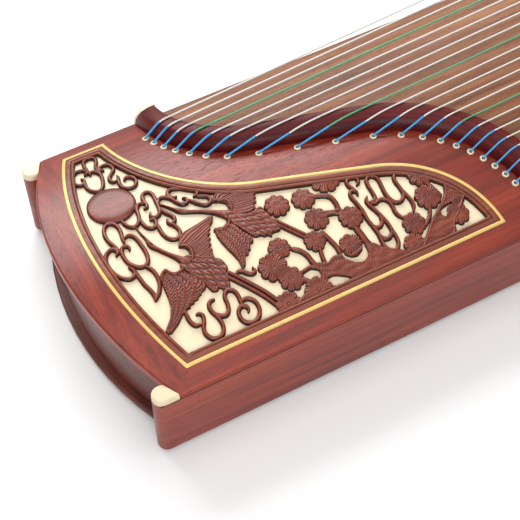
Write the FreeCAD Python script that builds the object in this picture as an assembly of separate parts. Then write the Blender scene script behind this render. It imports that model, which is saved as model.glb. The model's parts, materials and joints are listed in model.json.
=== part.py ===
import FreeCAD, Part
import os
from math import acos, asin, atan2, cos, degrees, hypot, pi, radians, sin, sqrt

V = FreeCAD.Vector

# A 21-string guzheng (Chinese plucked zither), in millimetres.
# +X points to the head (the tuning end, at the player's right), +Y away from the player,
# +Z up. The origin is on the ground, in the middle of the instrument's footprint.

# ---------------------------------------------------------------- driving dimensions
LENGTH = 1630.0          # over the two curved deck ends
HALF_WIDTH_TAIL = 150.0  # half width over the side boards at the tail posts
TAPER = 0.0077           # growth of the half width per mm towards the head
CROWN_H = 106.0          # crown of the deck above the bottom board's underside
FOOT_H = 6.0             # felt-bottomed foot discs under the bottom board
FOOT_R = 13.0
ARCH_R = 430.0           # cross arch of the whole top, one cylinder along X
DECK_T = 8.5             # soundboard and both decks
DECK_LIP = 2.5           # what is left of the deck over the side boards
DECK_ROUND = 2.0         # rounding of the deck's outer edge
DECK_SHY = 0.05          # the deck's edge stands this far inside the side boards' faces
SIDE_T = 18.0
BOTTOM_T = 8.0
END_T = 10.0
END_RECESS = 10.0        # the end boards stand this far inside the deck's curved ends
END_BOW = 40.9           # the deck's middle stands this far beyond its corners
POST_SETBACK = 18.5      # the rounded side board ends stop this far inside the deck's middle
CAP_H = 6.0              # bone caps on the side boards' ends

STRINGS = 21
PITCH_TAIL = 11.69
PITCH_HEAD = 12.5
STRING_D_THIN = 1.2
STRING_D_THICK = 1.8
LEAST_TURN = radians(1.2)  # a string bends by at least this where it crosses a bridge
EYELET_HOLE_R = 1.8
EYELET_BUSH_R = 2.5
EYELET_FLANGE_R = 3.4
EYELET_FLANGE_H = 1.1
KNOT_R = 2.6             # the string's knot hangs under the tail deck
KNOT_DROP = 5.0

# S-shaped tail bridge: two arcs and the straight line that touches both. Offset 0 is the
# outer edge of the inlay line, and offsets grow towards the soundboard.
S_A = (247.5, 144.0)     # centre of the bass-side arc, x measured from the tail end
S_B = (271.5, -138.0)    # centre of the treble-side arc
S_RA = 146.0
S_RB = 114.0
EYELET_OFFSET = 33.5
BRIDGE_FOOT = 40.0
BRIDGE_BACK = 62.5
DECK_JOINT = 51.0        # tail deck and soundboard meet under the middle of the bridge
BRIDGE_PROFILE = (       # offset from the foot edge, height above the deck
    (0.0, 0.0), (1.4, 6.0), (4.6, 10.8), (9.2, 14.2),
    (14.8, 16.0), (20.6, 16.4), (22.5, 15.0), (22.5, 0.0))
BRIDGE_FAR_Y = 148.5
BRIDGE_NEAR_Y = -150.5
BRIDGE_CAP_T = 2.6
ARC_STEPS = 10

# carved panel in the tail deck
PANEL_TOP_Y = 137.0
PANEL_TAIL_X = 28.5      # tail end of the inlay on the centreline, from the deck's end
PANEL_TAIL_R = 324.0
PANEL_MARGIN = 19.0      # inlay to the side board's outer face, on the player's side
INLAY_W = 3.0
INLAY_DEPTH = 2.0
MOULD_STEP = 8.0
MOULD_W = 12.0
PANEL_DEPTH = 5.0        # top of the cream backing below the deck's surface
RELIEF_TOP = 1.4         # top of the plain fretwork below the deck's surface

# head end
FRONT_X = 582.5
FRONT_W = 18.0
FRONT_H = 16.0
FRONT_ROUND = 6.5
HEAD_EYELET_X = 606.5
BOX_X0 = 634.0
BOX_X1 = 770.0
BOX_HALF_Y = 136.0
LID_GAP = 0.5
LID_LEDGE = 6.0
LID_REST_GAP = 0.3
LEDGE_INSET = 14.0
LEDGE_L = 34.0
FINGER_R = 11.0
PIVOT_R = 1.5
PIVOT_CLEAR = 0.05
PIVOT_REACH = 8.0        # length of a pivot pin in the deck, and again in the lid
PIN_ROWS = (664.0, 702.0, 740.0)
PIN_SHANK_R = 2.6
PIN_HEAD_R = 3.2
PIN_CLEAR = 0.05
PIN_Z0 = 38.0
PIN_Z1 = 80.0
PIN_SQUARE = 4.6
PIN_SQUARE_H = 9.0
PIN_STRING_Z = 66.0
PIN_EYE_R = 0.8
BLOCK_X0 = 636.0
BLOCK_X1 = 768.0
BLOCK_Z0 = 34.0
BLOCK_Z1 = 58.0
BEARER_T = 12.0          # uprights that carry the pin block
BEARER_INSET = 2.0

# movable bridges
MOVE_H = 52.0
MOVE_FOOT = 21.0         # half span over the feet
MOVE_INNER = 11.5
MOVE_SPRING = 6.0        # height where the arch between the legs begins
MOVE_ARCH_H = 18.0
MOVE_ANKLE = 7.0
MOVE_WAIST_H = 30.0
MOVE_NECK = 4.2
MOVE_T_FOOT = 9.0
MOVE_T_TOP = 5.0
MOVE_GAP = 0.3
SCALE_TREBLE = 230.0     # front bridge to the first movable bridge
SCALE_STEP = 18.5
SCALE_GROWTH = 0.325

# inside
BRACE_T = 14.0
BRACE_XS = (-330.0, -110.0, 110.0, 330.0, FRONT_X)
BRACE_SPAN = 95.0        # half width of the opening in a brace
BRACE_SHOULDER = 42.0    # height of the opening's upright sides
BRACE_RISE = 74.0
RIB_DEPTH = 28.0
BOTTOM_Z = FOOT_H
SOUND_HOLES = ((-220.0, 90.0, 34.0), (220.0, 90.0, 34.0))
TAIL_HATCH = (-560.0, 120.0, 92.0)

TAIL_X = -LENGTH / 2
HEAD_X = LENGTH / 2
AXIS_Z = FOOT_H + CROWN_H - ARCH_R
TALL = 260.0


# ---------------------------------------------------------------- shape helpers
def half_width(x):
    return HALF_WIDTH_TAIL + TAPER * (x - TAIL_X - POST_SETBACK)


def deck_z(y, r=ARCH_R):
    return AXIS_Z + sqrt(r * r - y * y)


def flat_face(edges):
    return Part.Face(Part.Wire(edges))


def polygon(points):
    return Part.Face(Part.makePolygon(points + [points[0]]))


def arc(a, m, b):
    return Part.Arc(a, m, b).toShape()


def line(a, b):
    return Part.LineSegment(a, b).toShape()


def upright(face, z0=0.0, z1=TALL):
    moved = face.copy()
    moved.translate(V(0, 0, z0))
    return moved.extrude(V(0, 0, z1 - z0))


def sector(r0, r1, a0, a1, x0, x1):
    """Part of a tube along X about the arch's axis, between two angles from the crown."""
    def at(r, a):
        return V(x0, r * sin(radians(a)), AXIS_Z + r * cos(radians(a)))
    mid = (a0 + a1) / 2
    edges = [arc(at(r0, a0), at(r0, mid), at(r0, a1)), line(at(r0, a1), at(r1, a1)),
             arc(at(r1, a1), at(r1, mid), at(r1, a0)), line(at(r1, a0), at(r0, a0))]
    return flat_face(edges).extrude(V(x1 - x0, 0, 0))


def layer(face, r0, r1):
    """The part of the arch between two radii that lies over a flat outline."""
    return upright(face).common(sector(r0, r1, -30, 30, TAIL_X - 50, HEAD_X + 50))


def under_arch(shape, r):
    """Cut away what stands above the arch of radius r."""
    return shape.cut(sector(r, r + TALL, -30, 30, TAIL_X - 50, HEAD_X + 50))


def rod(base, direction, r, length):
    return Part.makeCylinder(r, length, base, direction)


def radial(y):
    """Outward direction of the arch at y."""
    a = asin(y / ARCH_R)
    return V(0, sin(a), cos(a))


def on_arch(x, y, r):
    """Point at radius r on the radial line through the deck's surface at y."""
    return V(x, 0, AXIS_Z) + radial(y) * r


def fuse(shapes):
    first = shapes[0]
    return first.fuse(shapes[1:]).removeSplitter() if len(shapes) > 1 else first


def save(name, shape):
    solids = shape.Solids
    if not solids or not all(s.isValid() for s in solids):
        raise ValueError("bad shape: " + name)
    out = solids[0] if len(solids) == 1 else Part.makeCompound(solids)
    out.exportStep("parts/" + name + ".step")
    print(name, len(solids), "solids", round(sum(s.Volume for s in solids) / 1000.0, 1), "cm3")
    return out


# ---------------------------------------------------------------- plan outlines
def end_arc(sign, inset, y):
    """x of the deck's curved end, moved inwards by inset, at y."""
    half = half_width(sign * HEAD_X)
    r = (half * half + END_BOW * END_BOW) / (2 * END_BOW) - inset
    centre = sign * (HEAD_X - inset - r)
    return centre + sign * sqrt(r * r - y * y)


def body_plan(inset_end, inset_side):
    """Outline of the top seen from above, moved inwards at its ends and its sides."""
    corners = []
    for sign in (-1, 1):
        x = sign * (HEAD_X - END_BOW)
        for _ in range(4):
            y = half_width(x) - inset_side
            x = end_arc(sign, inset_end, y)
        corners.append((x, y))
    (xt, yt), (xh, yh) = corners
    mid_t = V(end_arc(-1, inset_end, 0), 0, 0)
    mid_h = V(end_arc(1, inset_end, 0), 0, 0)
    return flat_face([
        arc(V(xt, -yt, 0), mid_t, V(xt, yt, 0)), line(V(xt, yt, 0), V(xh, yh, 0)),
        arc(V(xh, yh, 0), mid_h, V(xh, -yh, 0)), line(V(xh, -yh, 0), V(xt, -yt, 0))])


AX, AY = TAIL_X + S_A[0], S_A[1]
BX, BY = TAIL_X + S_B[0], S_B[1]
NORMAL_ANGLE = atan2(AY - BY, AX - BX) - acos((S_RA + S_RB) / hypot(AX - BX, AY - BY))
NX, NY = cos(NORMAL_ANGLE), sin(NORMAL_ANGLE)


def s_a(angle, offset):
    r = S_RA - offset
    return V(AX + r * cos(angle), AY + r * sin(angle), 0)


def s_b(angle, offset):
    r = S_RB + offset
    return V(BX + r * cos(angle), BY + r * sin(angle), 0)


def s_x(y, offset):
    """x of the S curve at y."""
    ta = s_a(NORMAL_ANGLE + pi, offset)
    tb = s_b(NORMAL_ANGLE, offset)
    if y >= AY:
        return AX - (S_RA - offset)
    if y >= ta.y:
        return AX - sqrt((S_RA - offset) ** 2 - (AY - y) ** 2)
    if y >= tb.y:
        return ta.x + (ta.y - y) * NY / NX
    if y >= BY:
        return BX + sqrt((S_RB + offset) ** 2 - (y - BY) ** 2)
    return BX + S_RB + offset


def s_edges(offset, a0=pi, b1=0.0):
    """The S curve from an angle on its bass-side arc to an angle on its treble-side arc."""
    ta = s_a(NORMAL_ANGLE + pi, offset)
    tb = s_b(NORMAL_ANGLE, offset)
    a_mid = (a0 + NORMAL_ANGLE + pi) / 2
    b_mid = (NORMAL_ANGLE + b1) / 2
    return [arc(s_a(a0, offset), s_a(a_mid, offset), ta), line(ta, tb),
            arc(tb, s_b(b_mid, offset), s_b(b1, offset))]


def tail_side_of(offset):
    """Everything on the tail's side of the S curve."""
    edges = s_edges(offset)
    start = s_a(pi, offset)
    end = s_b(0.0, offset)
    far = V(start.x, 300, 0)
    near = V(end.x, -300, 0)
    left = TAIL_X - 100
    return flat_face([line(far, start)] + edges + [
        line(end, near), line(near, V(left, -300, 0)),
        line(V(left, -300, 0), V(left, 300, 0)), line(V(left, 300, 0), far)])


def panel_low_y(x, inset):
    return -(half_width(x) - PANEL_MARGIN - inset)


def panel_plan(inset):
    """The inlay's outline moved inwards: straight top, S side, straight side, bowed tail."""
    top = PANEL_TOP_Y - inset
    r_tail = PANEL_TAIL_R - inset
    centre_x = TAIL_X + PANEL_TAIL_X + PANEL_TAIL_R
    a_start = pi + asin((AY - top) / (S_RA + inset))
    low_right = V(s_x(BY, -inset), 0, 0)
    low_left = V(centre_x - r_tail, 0, 0)
    for _ in range(6):
        low_right.y = panel_low_y(low_right.x, inset)
        low_right.x = BX + sqrt((S_RB - inset) ** 2 - (low_right.y - BY) ** 2)
        low_left.y = panel_low_y(low_left.x, inset)
        low_left.x = centre_x - sqrt(r_tail ** 2 - low_left.y ** 2)
    b_end = atan2(low_right.y - BY, low_right.x - BX)
    edges = s_edges(-inset, a_start, b_end)
    start = s_a(a_start, -inset)
    end = s_b(b_end, -inset)
    top_left = V(centre_x - sqrt(r_tail ** 2 - top ** 2), top, 0)
    return flat_face(edges + [
        line(end, low_left),
        arc(low_left, V(centre_x - r_tail, 0, 0), top_left), line(top_left, start)])


# ---------------------------------------------------------------- body
def side_boards():
    boards = []
    r = SIDE_T / 2
    tail = TAIL_X + POST_SETBACK
    head = HEAD_X - POST_SETBACK
    for side in (-1, 1):
        yt = side * (half_width(tail + r) - r)
        yh = side * (half_width(head - r) - r)
        a = V(tail + r, yt + side * r, 0)
        b = V(head - r, yh + side * r, 0)
        c = V(head - r, yh - side * r, 0)
        d = V(tail + r, yt - side * r, 0)
        plan = flat_face([line(a, b), arc(b, V(head, yh, 0), c), line(c, d),
                          arc(d, V(tail, yt, 0), a)])
        board = under_arch(upright(plan, BOTTOM_Z), ARCH_R - DECK_LIP)
        for sign in (-1, 1):
            boards_end = upright(polygon([
                V(sign * (HEAD_X - END_BOW - SIDE_T), -300, 0), V(sign * (HEAD_X + 50), -300, 0),
                V(sign * (HEAD_X + 50), 300, 0), V(sign * (HEAD_X - END_BOW - SIDE_T), 300, 0)]),
                post_z(sign), TALL)
            board = board.cut(boards_end)
        boards.append(board)
    return Part.makeCompound(boards)


def post_z(sign):
    """Flat top of the side boards' rounded ends."""
    return deck_z(half_width(sign * (HEAD_X - END_BOW)), ARCH_R - DECK_LIP)


def inner_prism(x0, x1, z0, z1):
    """Block that fills the body between the side boards."""
    y0 = half_width(x0) - SIDE_T
    y1 = half_width(x1) - SIDE_T
    plan = polygon([V(x0, -y0, 0), V(x1, -y1, 0), V(x1, y1, 0), V(x0, y0, 0)])
    return upright(plan, z0, z1)


def slot_plan(x, half_length, r):
    a = V(x - half_length + r, r, 0)
    b = V(x + half_length - r, r, 0)
    c = V(x + half_length - r, -r, 0)
    d = V(x - half_length + r, -r, 0)
    return flat_face([line(a, b), arc(b, V(x + half_length, 0, 0), c), line(c, d),
                      arc(d, V(x - half_length, 0, 0), a)])


def bottom_board():
    board = upright(body_plan(1.5, SIDE_T), BOTTOM_Z, BOTTOM_Z + BOTTOM_T)
    for x, half_length, r in SOUND_HOLES + (TAIL_HATCH,):
        board = board.cut(upright(slot_plan(x, half_length, r)))
    ends = [e for e in board.Edges if abs(e.CenterOfMass.x) > HEAD_X - END_BOW]
    curved = [e for e in ends if e.BoundBox.YLength > 100]
    return board.makeFillet(2.5, curved)


def end_boards():
    outer = body_plan(END_RECESS, SIDE_T)
    ring = outer.cut(Part.makePlane(LENGTH - 2 * (END_BOW + END_RECESS), 400,
                                    V(-HEAD_X + END_BOW + END_RECESS, -200, 0)))
    wall = under_arch(upright(ring, BOTTOM_Z + BOTTOM_T), ARCH_R - DECK_T)
    keep = []
    for sign in (-1, 1):
        y = half_width(sign * (HEAD_X - END_BOW)) - SIDE_T
        hollow = flat_face([
            arc(V(end_arc(sign, END_RECESS + END_T, y), -y - 1, 0),
                V(end_arc(sign, END_RECESS + END_T, 0), 0, 0),
                V(end_arc(sign, END_RECESS + END_T, y), y + 1, 0)),
            line(V(end_arc(sign, END_RECESS + END_T, y), y + 1, 0), V(0, y + 1, 0)),
            line(V(0, y + 1, 0), V(0, -y - 1, 0)),
            line(V(0, -y - 1, 0), V(end_arc(sign, END_RECESS + END_T, y), -y - 1, 0))])
        keep.append(upright(hollow))
    return wall.cut(keep)


def round_rim(deck, joint_x0, joint_x1):
    """Round the deck's outer top edge, leaving the joints with its neighbours sharp."""
    rim = []
    for e in deck.Edges:
        points = e.discretize(5)
        top = all(abs(hypot(p.y, p.z - AXIS_Z) - ARCH_R) < 0.01 for p in points)
        mid = points[2]
        at_side = abs(abs(mid.y) - half_width(mid.x)) < 0.6
        at_end = abs(mid.x) > HEAD_X - END_BOW
        if top and (at_side or at_end) and not joint_x0 < mid.x < joint_x1:
            rim.append(e)
    return deck.makeFillet(DECK_ROUND, rim)


def eyelet_places():
    """Eyelets in the tail deck, then eyelets in the head deck."""
    tail = [(s_x(string_y(i, 0), EYELET_OFFSET), string_y(i, 0)) for i in range(STRINGS)]
    head = [(HEAD_EYELET_X, string_y(i, 1)) for i in range(STRINGS)]
    return tail, head


def bushes(places, r):
    return [rod(on_arch(x, y, ARCH_R - DECK_T - 2), radial(y), r, DECK_T + 6) for x, y in places]


def tail_deck(sides):
    deck = layer(body_plan(0, DECK_SHY).common(tail_side_of(DECK_JOINT)), ARCH_R - DECK_T, ARCH_R)
    deck = round_rim(deck.cut(sides.Solids), 1, 0)
    deck = deck.cut(upright(panel_plan(0)))
    return deck.cut(bushes(eyelet_places()[0], EYELET_BUSH_R))


def soundboard(sides):
    plan = body_plan(0, DECK_SHY).cut(tail_side_of(DECK_JOINT))
    plan = plan.cut(Part.makePlane(400, 500, V(FRONT_X, -250, 0)))
    deck = layer(plan, ARCH_R - DECK_T, ARCH_R).cut(sides.Solids)
    return round_rim(deck, 1, 0)


def head_deck(sides):
    plan = body_plan(0, DECK_SHY).common(Part.makePlane(400, 500, V(FRONT_X, -250, 0)))
    deck = layer(plan, ARCH_R - DECK_T, ARCH_R)
    deck = round_rim(deck.cut(sides.Solids), 1, 0)
    a = degrees(asin(BOX_HALF_Y / ARCH_R))
    deck = deck.cut(sector(ARCH_R - 3 * DECK_T, ARCH_R + DECK_T, -a, a, BOX_X0, BOX_X1))
    step = degrees(LID_LEDGE / ARCH_R)
    ledge_r1 = ARCH_R - DECK_T - LID_REST_GAP
    ledge_r0 = ledge_r1 - LID_LEDGE
    for x0 in (BOX_X0 + LEDGE_INSET, BOX_X1 - LEDGE_INSET - LEDGE_L):
        ledge = sector(ledge_r0, ledge_r1, -a - step / 2, -a + step, x0, x0 + LEDGE_L)
        root = sector(ledge_r0, ARCH_R - DECK_T, -a - step, -a, x0, x0 + LEDGE_L)
        deck = fuse([deck, ledge, root])
    for x in (BOX_X0 - PIVOT_REACH, BOX_X1):
        deck = deck.cut(rod(V(x, HINGE_Y, HINGE_Z), V(1, 0, 0), PIVOT_R, PIVOT_REACH))
    return deck.cut(bushes(eyelet_places()[1], EYELET_BUSH_R))


# ---------------------------------------------------------------- lid of the tuning box
LID_EDGE_R = DECK_T / 2
BOX_ANGLE = degrees(asin(BOX_HALF_Y / ARCH_R))
HINGE_ANGLE = BOX_ANGLE - degrees((LID_EDGE_R + LID_GAP) / (ARCH_R - LID_EDGE_R))
HINGE_Y = (ARCH_R - LID_EDGE_R) * sin(radians(HINGE_ANGLE))
HINGE_Z = AXIS_Z + (ARCH_R - LID_EDGE_R) * cos(radians(HINGE_ANGLE))


def box_lid():
    x0 = BOX_X0 + LID_GAP
    x1 = BOX_X1 - LID_GAP
    near = -BOX_ANGLE + degrees(LID_GAP / ARCH_R)
    board = sector(ARCH_R - DECK_T, ARCH_R, near, HINGE_ANGLE, x0, x1)
    edge = rod(V(x0, HINGE_Y, HINGE_Z), V(1, 0, 0), LID_EDGE_R, x1 - x0)
    lid = fuse([board, edge])
    for x in (x0, x1 - PIVOT_REACH - LID_GAP):
        bore = rod(V(x, HINGE_Y, HINGE_Z), V(1, 0, 0), PIVOT_R + PIVOT_CLEAR, PIVOT_REACH + LID_GAP)
        lid = lid.cut(bore)
    middle = (BOX_X0 + BOX_X1) / 2
    return lid.cut(rod(V(middle, -BOX_HALF_Y, 0), V(0, 0, 1), FINGER_R, TALL))


def lid_pivot_pins():
    pins = []
    for x in (BOX_X0 - PIVOT_REACH, BOX_X1 - PIVOT_REACH):
        pins.append(rod(V(x, HINGE_Y, HINGE_Z), V(1, 0, 0), PIVOT_R, 2 * PIVOT_REACH))
    return Part.makeCompound(pins)


# ---------------------------------------------------------------- fixed bridges
def bridge_section(place, grow=0.0, low=0.0):
    """Closed section of the tail bridge; place(offset) gives its plan position."""
    points = []
    for offset, height in BRIDGE_PROFILE:
        reach = BRIDGE_FOOT + offset + (grow if offset > 10 else -grow)
        p = place(reach)
        lift = height + grow if height > 0 else low
        points.append(V(p.x, p.y, deck_z(min(p.y, 152.0)) + lift))
    return Part.makePolygon(points + [points[0]])


def tail_bridge():
    places = [lambda d: V(AX - (S_RA - d), BRIDGE_FAR_Y, 0)]
    for k in range(ARC_STEPS + 1):
        a = pi + NORMAL_ANGLE * k / ARC_STEPS
        places.append(lambda d, a=a: s_a(a, d))
    for k in range(ARC_STEPS + 1):
        a = NORMAL_ANGLE * (1 - k / ARC_STEPS)
        places.append(lambda d, a=a: s_b(a, d))
    places.append(lambda d: V(BX + S_RB + d, BRIDGE_NEAR_Y, 0))
    bar = Part.makeLoft([bridge_section(p, low=-2.0) for p in places], True, True)
    return bar.cut(rod(V(TAIL_X, 0, AXIS_Z), V(1, 0, 0), ARCH_R, LENGTH))


def tail_bridge_caps():
    caps = []
    for y, x_of, out in ((BRIDGE_FAR_Y, lambda d: AX - (S_RA - d), 1),
                         (BRIDGE_NEAR_Y, lambda d: BX + S_RB + d, -1)):
        section = bridge_section(lambda d: V(x_of(d), y, 0), 0.4)
        caps.append(Part.Face(section).extrude(V(0, out * BRIDGE_CAP_T, 0)))
    return caps


def front_bridge_shape(y0, y1, grow=0.0):
    """Stretch of the straight, round-topped front bridge between two upright planes."""
    half = FRONT_W / 2 + grow
    bar = sector(ARCH_R, ARCH_R + FRONT_H + grow, -25, 25, FRONT_X - half, FRONT_X + half)
    top = [e for e in bar.Edges
           if all(hypot(p.y, p.z - AXIS_Z) > ARCH_R + FRONT_H - 0.1 for p in e.discretize(3))
           and e.BoundBox.XLength < 0.1]
    bar = bar.makeFillet(FRONT_ROUND, top)
    return bar.common(Part.makeBox(4 * half, y1 - y0, TALL, V(FRONT_X - 2 * half, y0, 0)))


def front_bridge():
    half = half_width(FRONT_X) - BRIDGE_CAP_T
    return front_bridge_shape(-half, half)


# ---------------------------------------------------------------- carved panel
SUN = (71.5, 48.8, 22.8)  # x from the tail end, y, radius
BLOSSOMS = (             # x from the tail end, y, radius
    (202.9, -26.7, 12.3), (227.9, -31.2, 11.5), (228.3, -55.4, 11.8), (257, -67.9, 11.8),
    (215, -74.6, 10.5), (182.5, -67, 10.8), (168, -81.3, 14), (177.5, -97.5, 12),
    (242.5, -92, 11.2), (163.8, -118, 12.5), (194.2, -117.9, 13.5), (256.5, -21, 15),
    (332.9, -80.4, 13), (306.7, -98.3, 11.6), (296.7, -116.7, 11.5), (339.2, -56.7, 13),
    (350, -107, 11))

TRUNK = (                # x from the tail end, y
    (196, -104), (203, -96), (228, -97), (252, -98), (262, -104), (284, -116), (308, -114),
    (322, -103), (345, -88), (356, -69), (366, -69), (372, -92), (356, -104), (336, -124),
    (208, -124))

CRANE_LOW_WING = ((82, -41), (74, -48), (71, -68), (65, -85), (55, -95), (60, -98), (76, -87),
                  (95, -78), (107, -71), (101, -58), (93, -49))
CRANE_HIGH_WING = ((143, -23), (154, -20), (158, -27), (167, -47), (159, -57), (143, -71),
                   (142, -55), (139, -31))
CRANE_LOW_BODY = ((79, 13), (84, -5), (90, -17), (104, -32), (104, -24), (115, -13), (135, -10),
                  (146, -9), (135, -22), (126, -49), (132, -60), (127, -78), (120, -82),
                  (108, -76), (101, -58), (95, -44), (96, -39), (84, -21), (77, -12))
CRANE_HIGH_BODY = ((110, 26), (118, 17), (130, 8), (145, 0), (154, -4), (154, 6), (161, 13),
                   (172, 14), (195, -1), (190, -13), (185, -19), (191, -22), (194, -45),
                   (180, -51), (168, -46), (157, -25), (152, -15), (140, -4), (126, 5),
                   (117, 12))


def tail_points(table):
    return [V(TAIL_X + x, y, 0) for x, y in table]


def disc_plan(x, y, r):
    return Part.Face(Part.Wire(Part.Circle(V(x, y, 0), V(0, 0, 1), r).toShape()))


def carved_panel(sides):
    flange = layer(panel_plan(0).cut(panel_plan(MOULD_W)), ARCH_R - PANEL_DEPTH,
                   ARCH_R - INLAY_DEPTH)
    step = layer(panel_plan(INLAY_W).cut(panel_plan(MOULD_STEP)), ARCH_R - INLAY_DEPTH - 0.5,
                 ARCH_R - 0.6)
    shapes = [disc_plan(TAIL_X + x, y, r) for x, y, r in (SUN,) + BLOSSOMS]
    outlines = (TRUNK, CRANE_LOW_WING, CRANE_HIGH_WING, CRANE_LOW_BODY, CRANE_HIGH_BODY)
    shapes += [polygon(tail_points(outline)) for outline in outlines]
    fret = shapes[0].fuse(shapes[1:]).common(panel_plan(MOULD_W - 1))
    relief = layer(fret, ARCH_R - PANEL_DEPTH, ARCH_R - RELIEF_TOP)
    return fuse([flange.cut(sides), step, relief])


def panel_backing(sides):
    return layer(panel_plan(0), ARCH_R - DECK_T, ARCH_R - PANEL_DEPTH).cut(sides)


def gold_inlay():
    return layer(panel_plan(0).cut(panel_plan(INLAY_W)), ARCH_R - INLAY_DEPTH, ARCH_R + 0.2)


# ---------------------------------------------------------------- bone fittings
def corner_caps(sides):
    """Domed caps on the rounded ends of the side boards, outside the deck's curved ends."""
    caps = []
    near_board = sides.Solids[0]
    for sign in (-1, 1):
        low = post_z(sign)
        foot = near_board.common(Part.makeBox(80, 400, 4, V(sign * HEAD_X - 40, -200, low - 4)))
        top = [f for f in foot.Faces if abs(f.CenterOfMass.z - low) < 0.01][0]
        visible = top.cut(upright(body_plan(0, -5)))
        cap = visible.extrude(V(0, 0, CAP_H)).Solids[0]
        rim = [e for e in cap.Edges
               if e.BoundBox.ZMin > low + CAP_H - 0.01 and e.Curve.TypeId.endswith("Circle")
               and e.Curve.Radius < SIDE_T]
        cap = cap.makeFillet(2.5, rim).Solids[0]
        caps += [cap, cap.mirror(V(0, 0, 0), V(0, 1, 0))]
    return caps


def eyelet(x, y):
    base = on_arch(x, y, ARCH_R - DECK_T)
    bush = rod(base, radial(y), EYELET_BUSH_R, DECK_T)
    flange = rod(on_arch(x, y, ARCH_R), radial(y), EYELET_FLANGE_R, EYELET_FLANGE_H)
    top = on_arch(x, y, ARCH_R + EYELET_FLANGE_H)
    rim = [e for e in flange.Edges if e.CenterOfMass.distanceToPoint(top) < 0.01]
    flange = flange.makeFillet(0.5, rim)
    hole = rod(on_arch(x, y, ARCH_R - DECK_T - 1), radial(y), EYELET_HOLE_R, DECK_T + 4)
    return bush.fuse(flange).removeSplitter().cut(hole)


def bone_fittings(sides):
    tail, head = eyelet_places()
    pieces = [eyelet(x, y) for x, y in tail + head]
    pieces += corner_caps(sides) + tail_bridge_caps()
    outer = half_width(FRONT_X)
    inner = outer - BRIDGE_CAP_T
    pieces.append(front_bridge_shape(inner, outer, 0.3))
    pieces.append(front_bridge_shape(-outer, -inner, 0.3))
    return Part.makeCompound(pieces)


# ---------------------------------------------------------------- strings and what carries them
def string_d(i):
    return STRING_D_THIN + (STRING_D_THICK - STRING_D_THIN) * i / (STRINGS - 1)


def string_y(i, end):
    """y of string i (0 is the treble one) at the tail eyelets (0) or the head eyelets (1)."""
    return (i - (STRINGS - 1) / 2) * (PITCH_HEAD if end else PITCH_TAIL)


def string_y_at(i, x):
    x0 = s_x(string_y(i, 0), EYELET_OFFSET)
    t = (x - x0) / (HEAD_EYELET_X - x0)
    return string_y(i, 0) * (1 - t) + string_y(i, 1) * t


def bridge_x(i):
    return FRONT_X - SCALE_TREBLE - SCALE_STEP * i - SCALE_GROWTH * i * i


def bridge_angle(i):
    return asin(string_y_at(i, bridge_x(i)) / (ARCH_R + MOVE_H))


def pin_place(i):
    return PIN_ROWS[i % 3], string_y(i, 1) + PIN_HEAD_R + string_d(i) / 2 + 0.15


def upper_hull(points):
    """The taut line over a row of points in order of x."""
    hull = []
    for p in points:
        while len(hull) > 1:
            a, b = hull[-2], hull[-1]
            turn = atan2(b[1] - a[1], b[0] - a[0]) - atan2(p[1] - b[1], p[0] - b[0])
            if turn > LEAST_TURN:
                break
            hull.pop()
        hull.append(p)
    return hull


def string_route(i):
    """Points (x, z) of string i from its tail eyelet to its head eyelet."""
    r = string_d(i) / 2
    y = string_y(i, 0)
    clear = r + 0.2
    start = s_x(y, EYELET_OFFSET)
    points = [(start + 0.6, deck_z(y) + EYELET_FLANGE_H + r)]
    for offset, height in BRIDGE_PROFILE[1:-1]:
        x = s_x(y, BRIDGE_FOOT + offset)
        points.append((x - 0.4 * clear, deck_z(y) + height + clear + 0.1))
    z = AXIS_Z + (ARCH_R + MOVE_H) * cos(bridge_angle(i))
    half = MOVE_T_TOP / 2 + 0.2
    points += [(bridge_x(i) - half, z), (bridge_x(i) + half, z)]
    y = string_y(i, 1)
    z = deck_z(y, ARCH_R + FRONT_H) - FRONT_ROUND
    bend = FRONT_ROUND + clear
    for step in range(7):
        a = radians(10 * step)
        points.append((FRONT_X + FRONT_W / 2 - FRONT_ROUND + bend * sin(a), z + bend * cos(a)))
    points.append((HEAD_EYELET_X - 1.0, deck_z(y) + EYELET_FLANGE_H + r))
    return upper_hull(points)


def tube(points, r):
    path = Part.makePolygon(points)
    along = (points[1] - points[0]).normalize()
    ring = Part.Wire(Part.Circle(points[0], along, r).toShape())
    return path.makePipeShell([ring], True, False, 1)


def one_string(i):
    r = string_d(i) / 2
    y0 = string_y(i, 0)
    y1 = string_y(i, 1)
    route = string_route(i)
    knot_at = on_arch(route[0][0] - 0.3, y0, ARCH_R - DECK_T - KNOT_DROP)
    points = [knot_at]
    points += [V(x, string_y_at(i, x), z) for x, z in route]
    points.append(on_arch(HEAD_EYELET_X + 0.7, y1, ARCH_R - DECK_T - r - 0.4))
    points.append(V(pin_place(i)[0], y1, PIN_STRING_Z))
    knot = Part.makeSphere(KNOT_R, knot_at)
    return tube(points, r).fuse(knot)


def strings():
    return Part.makeCompound([one_string(i) for i in range(STRINGS)])


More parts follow.
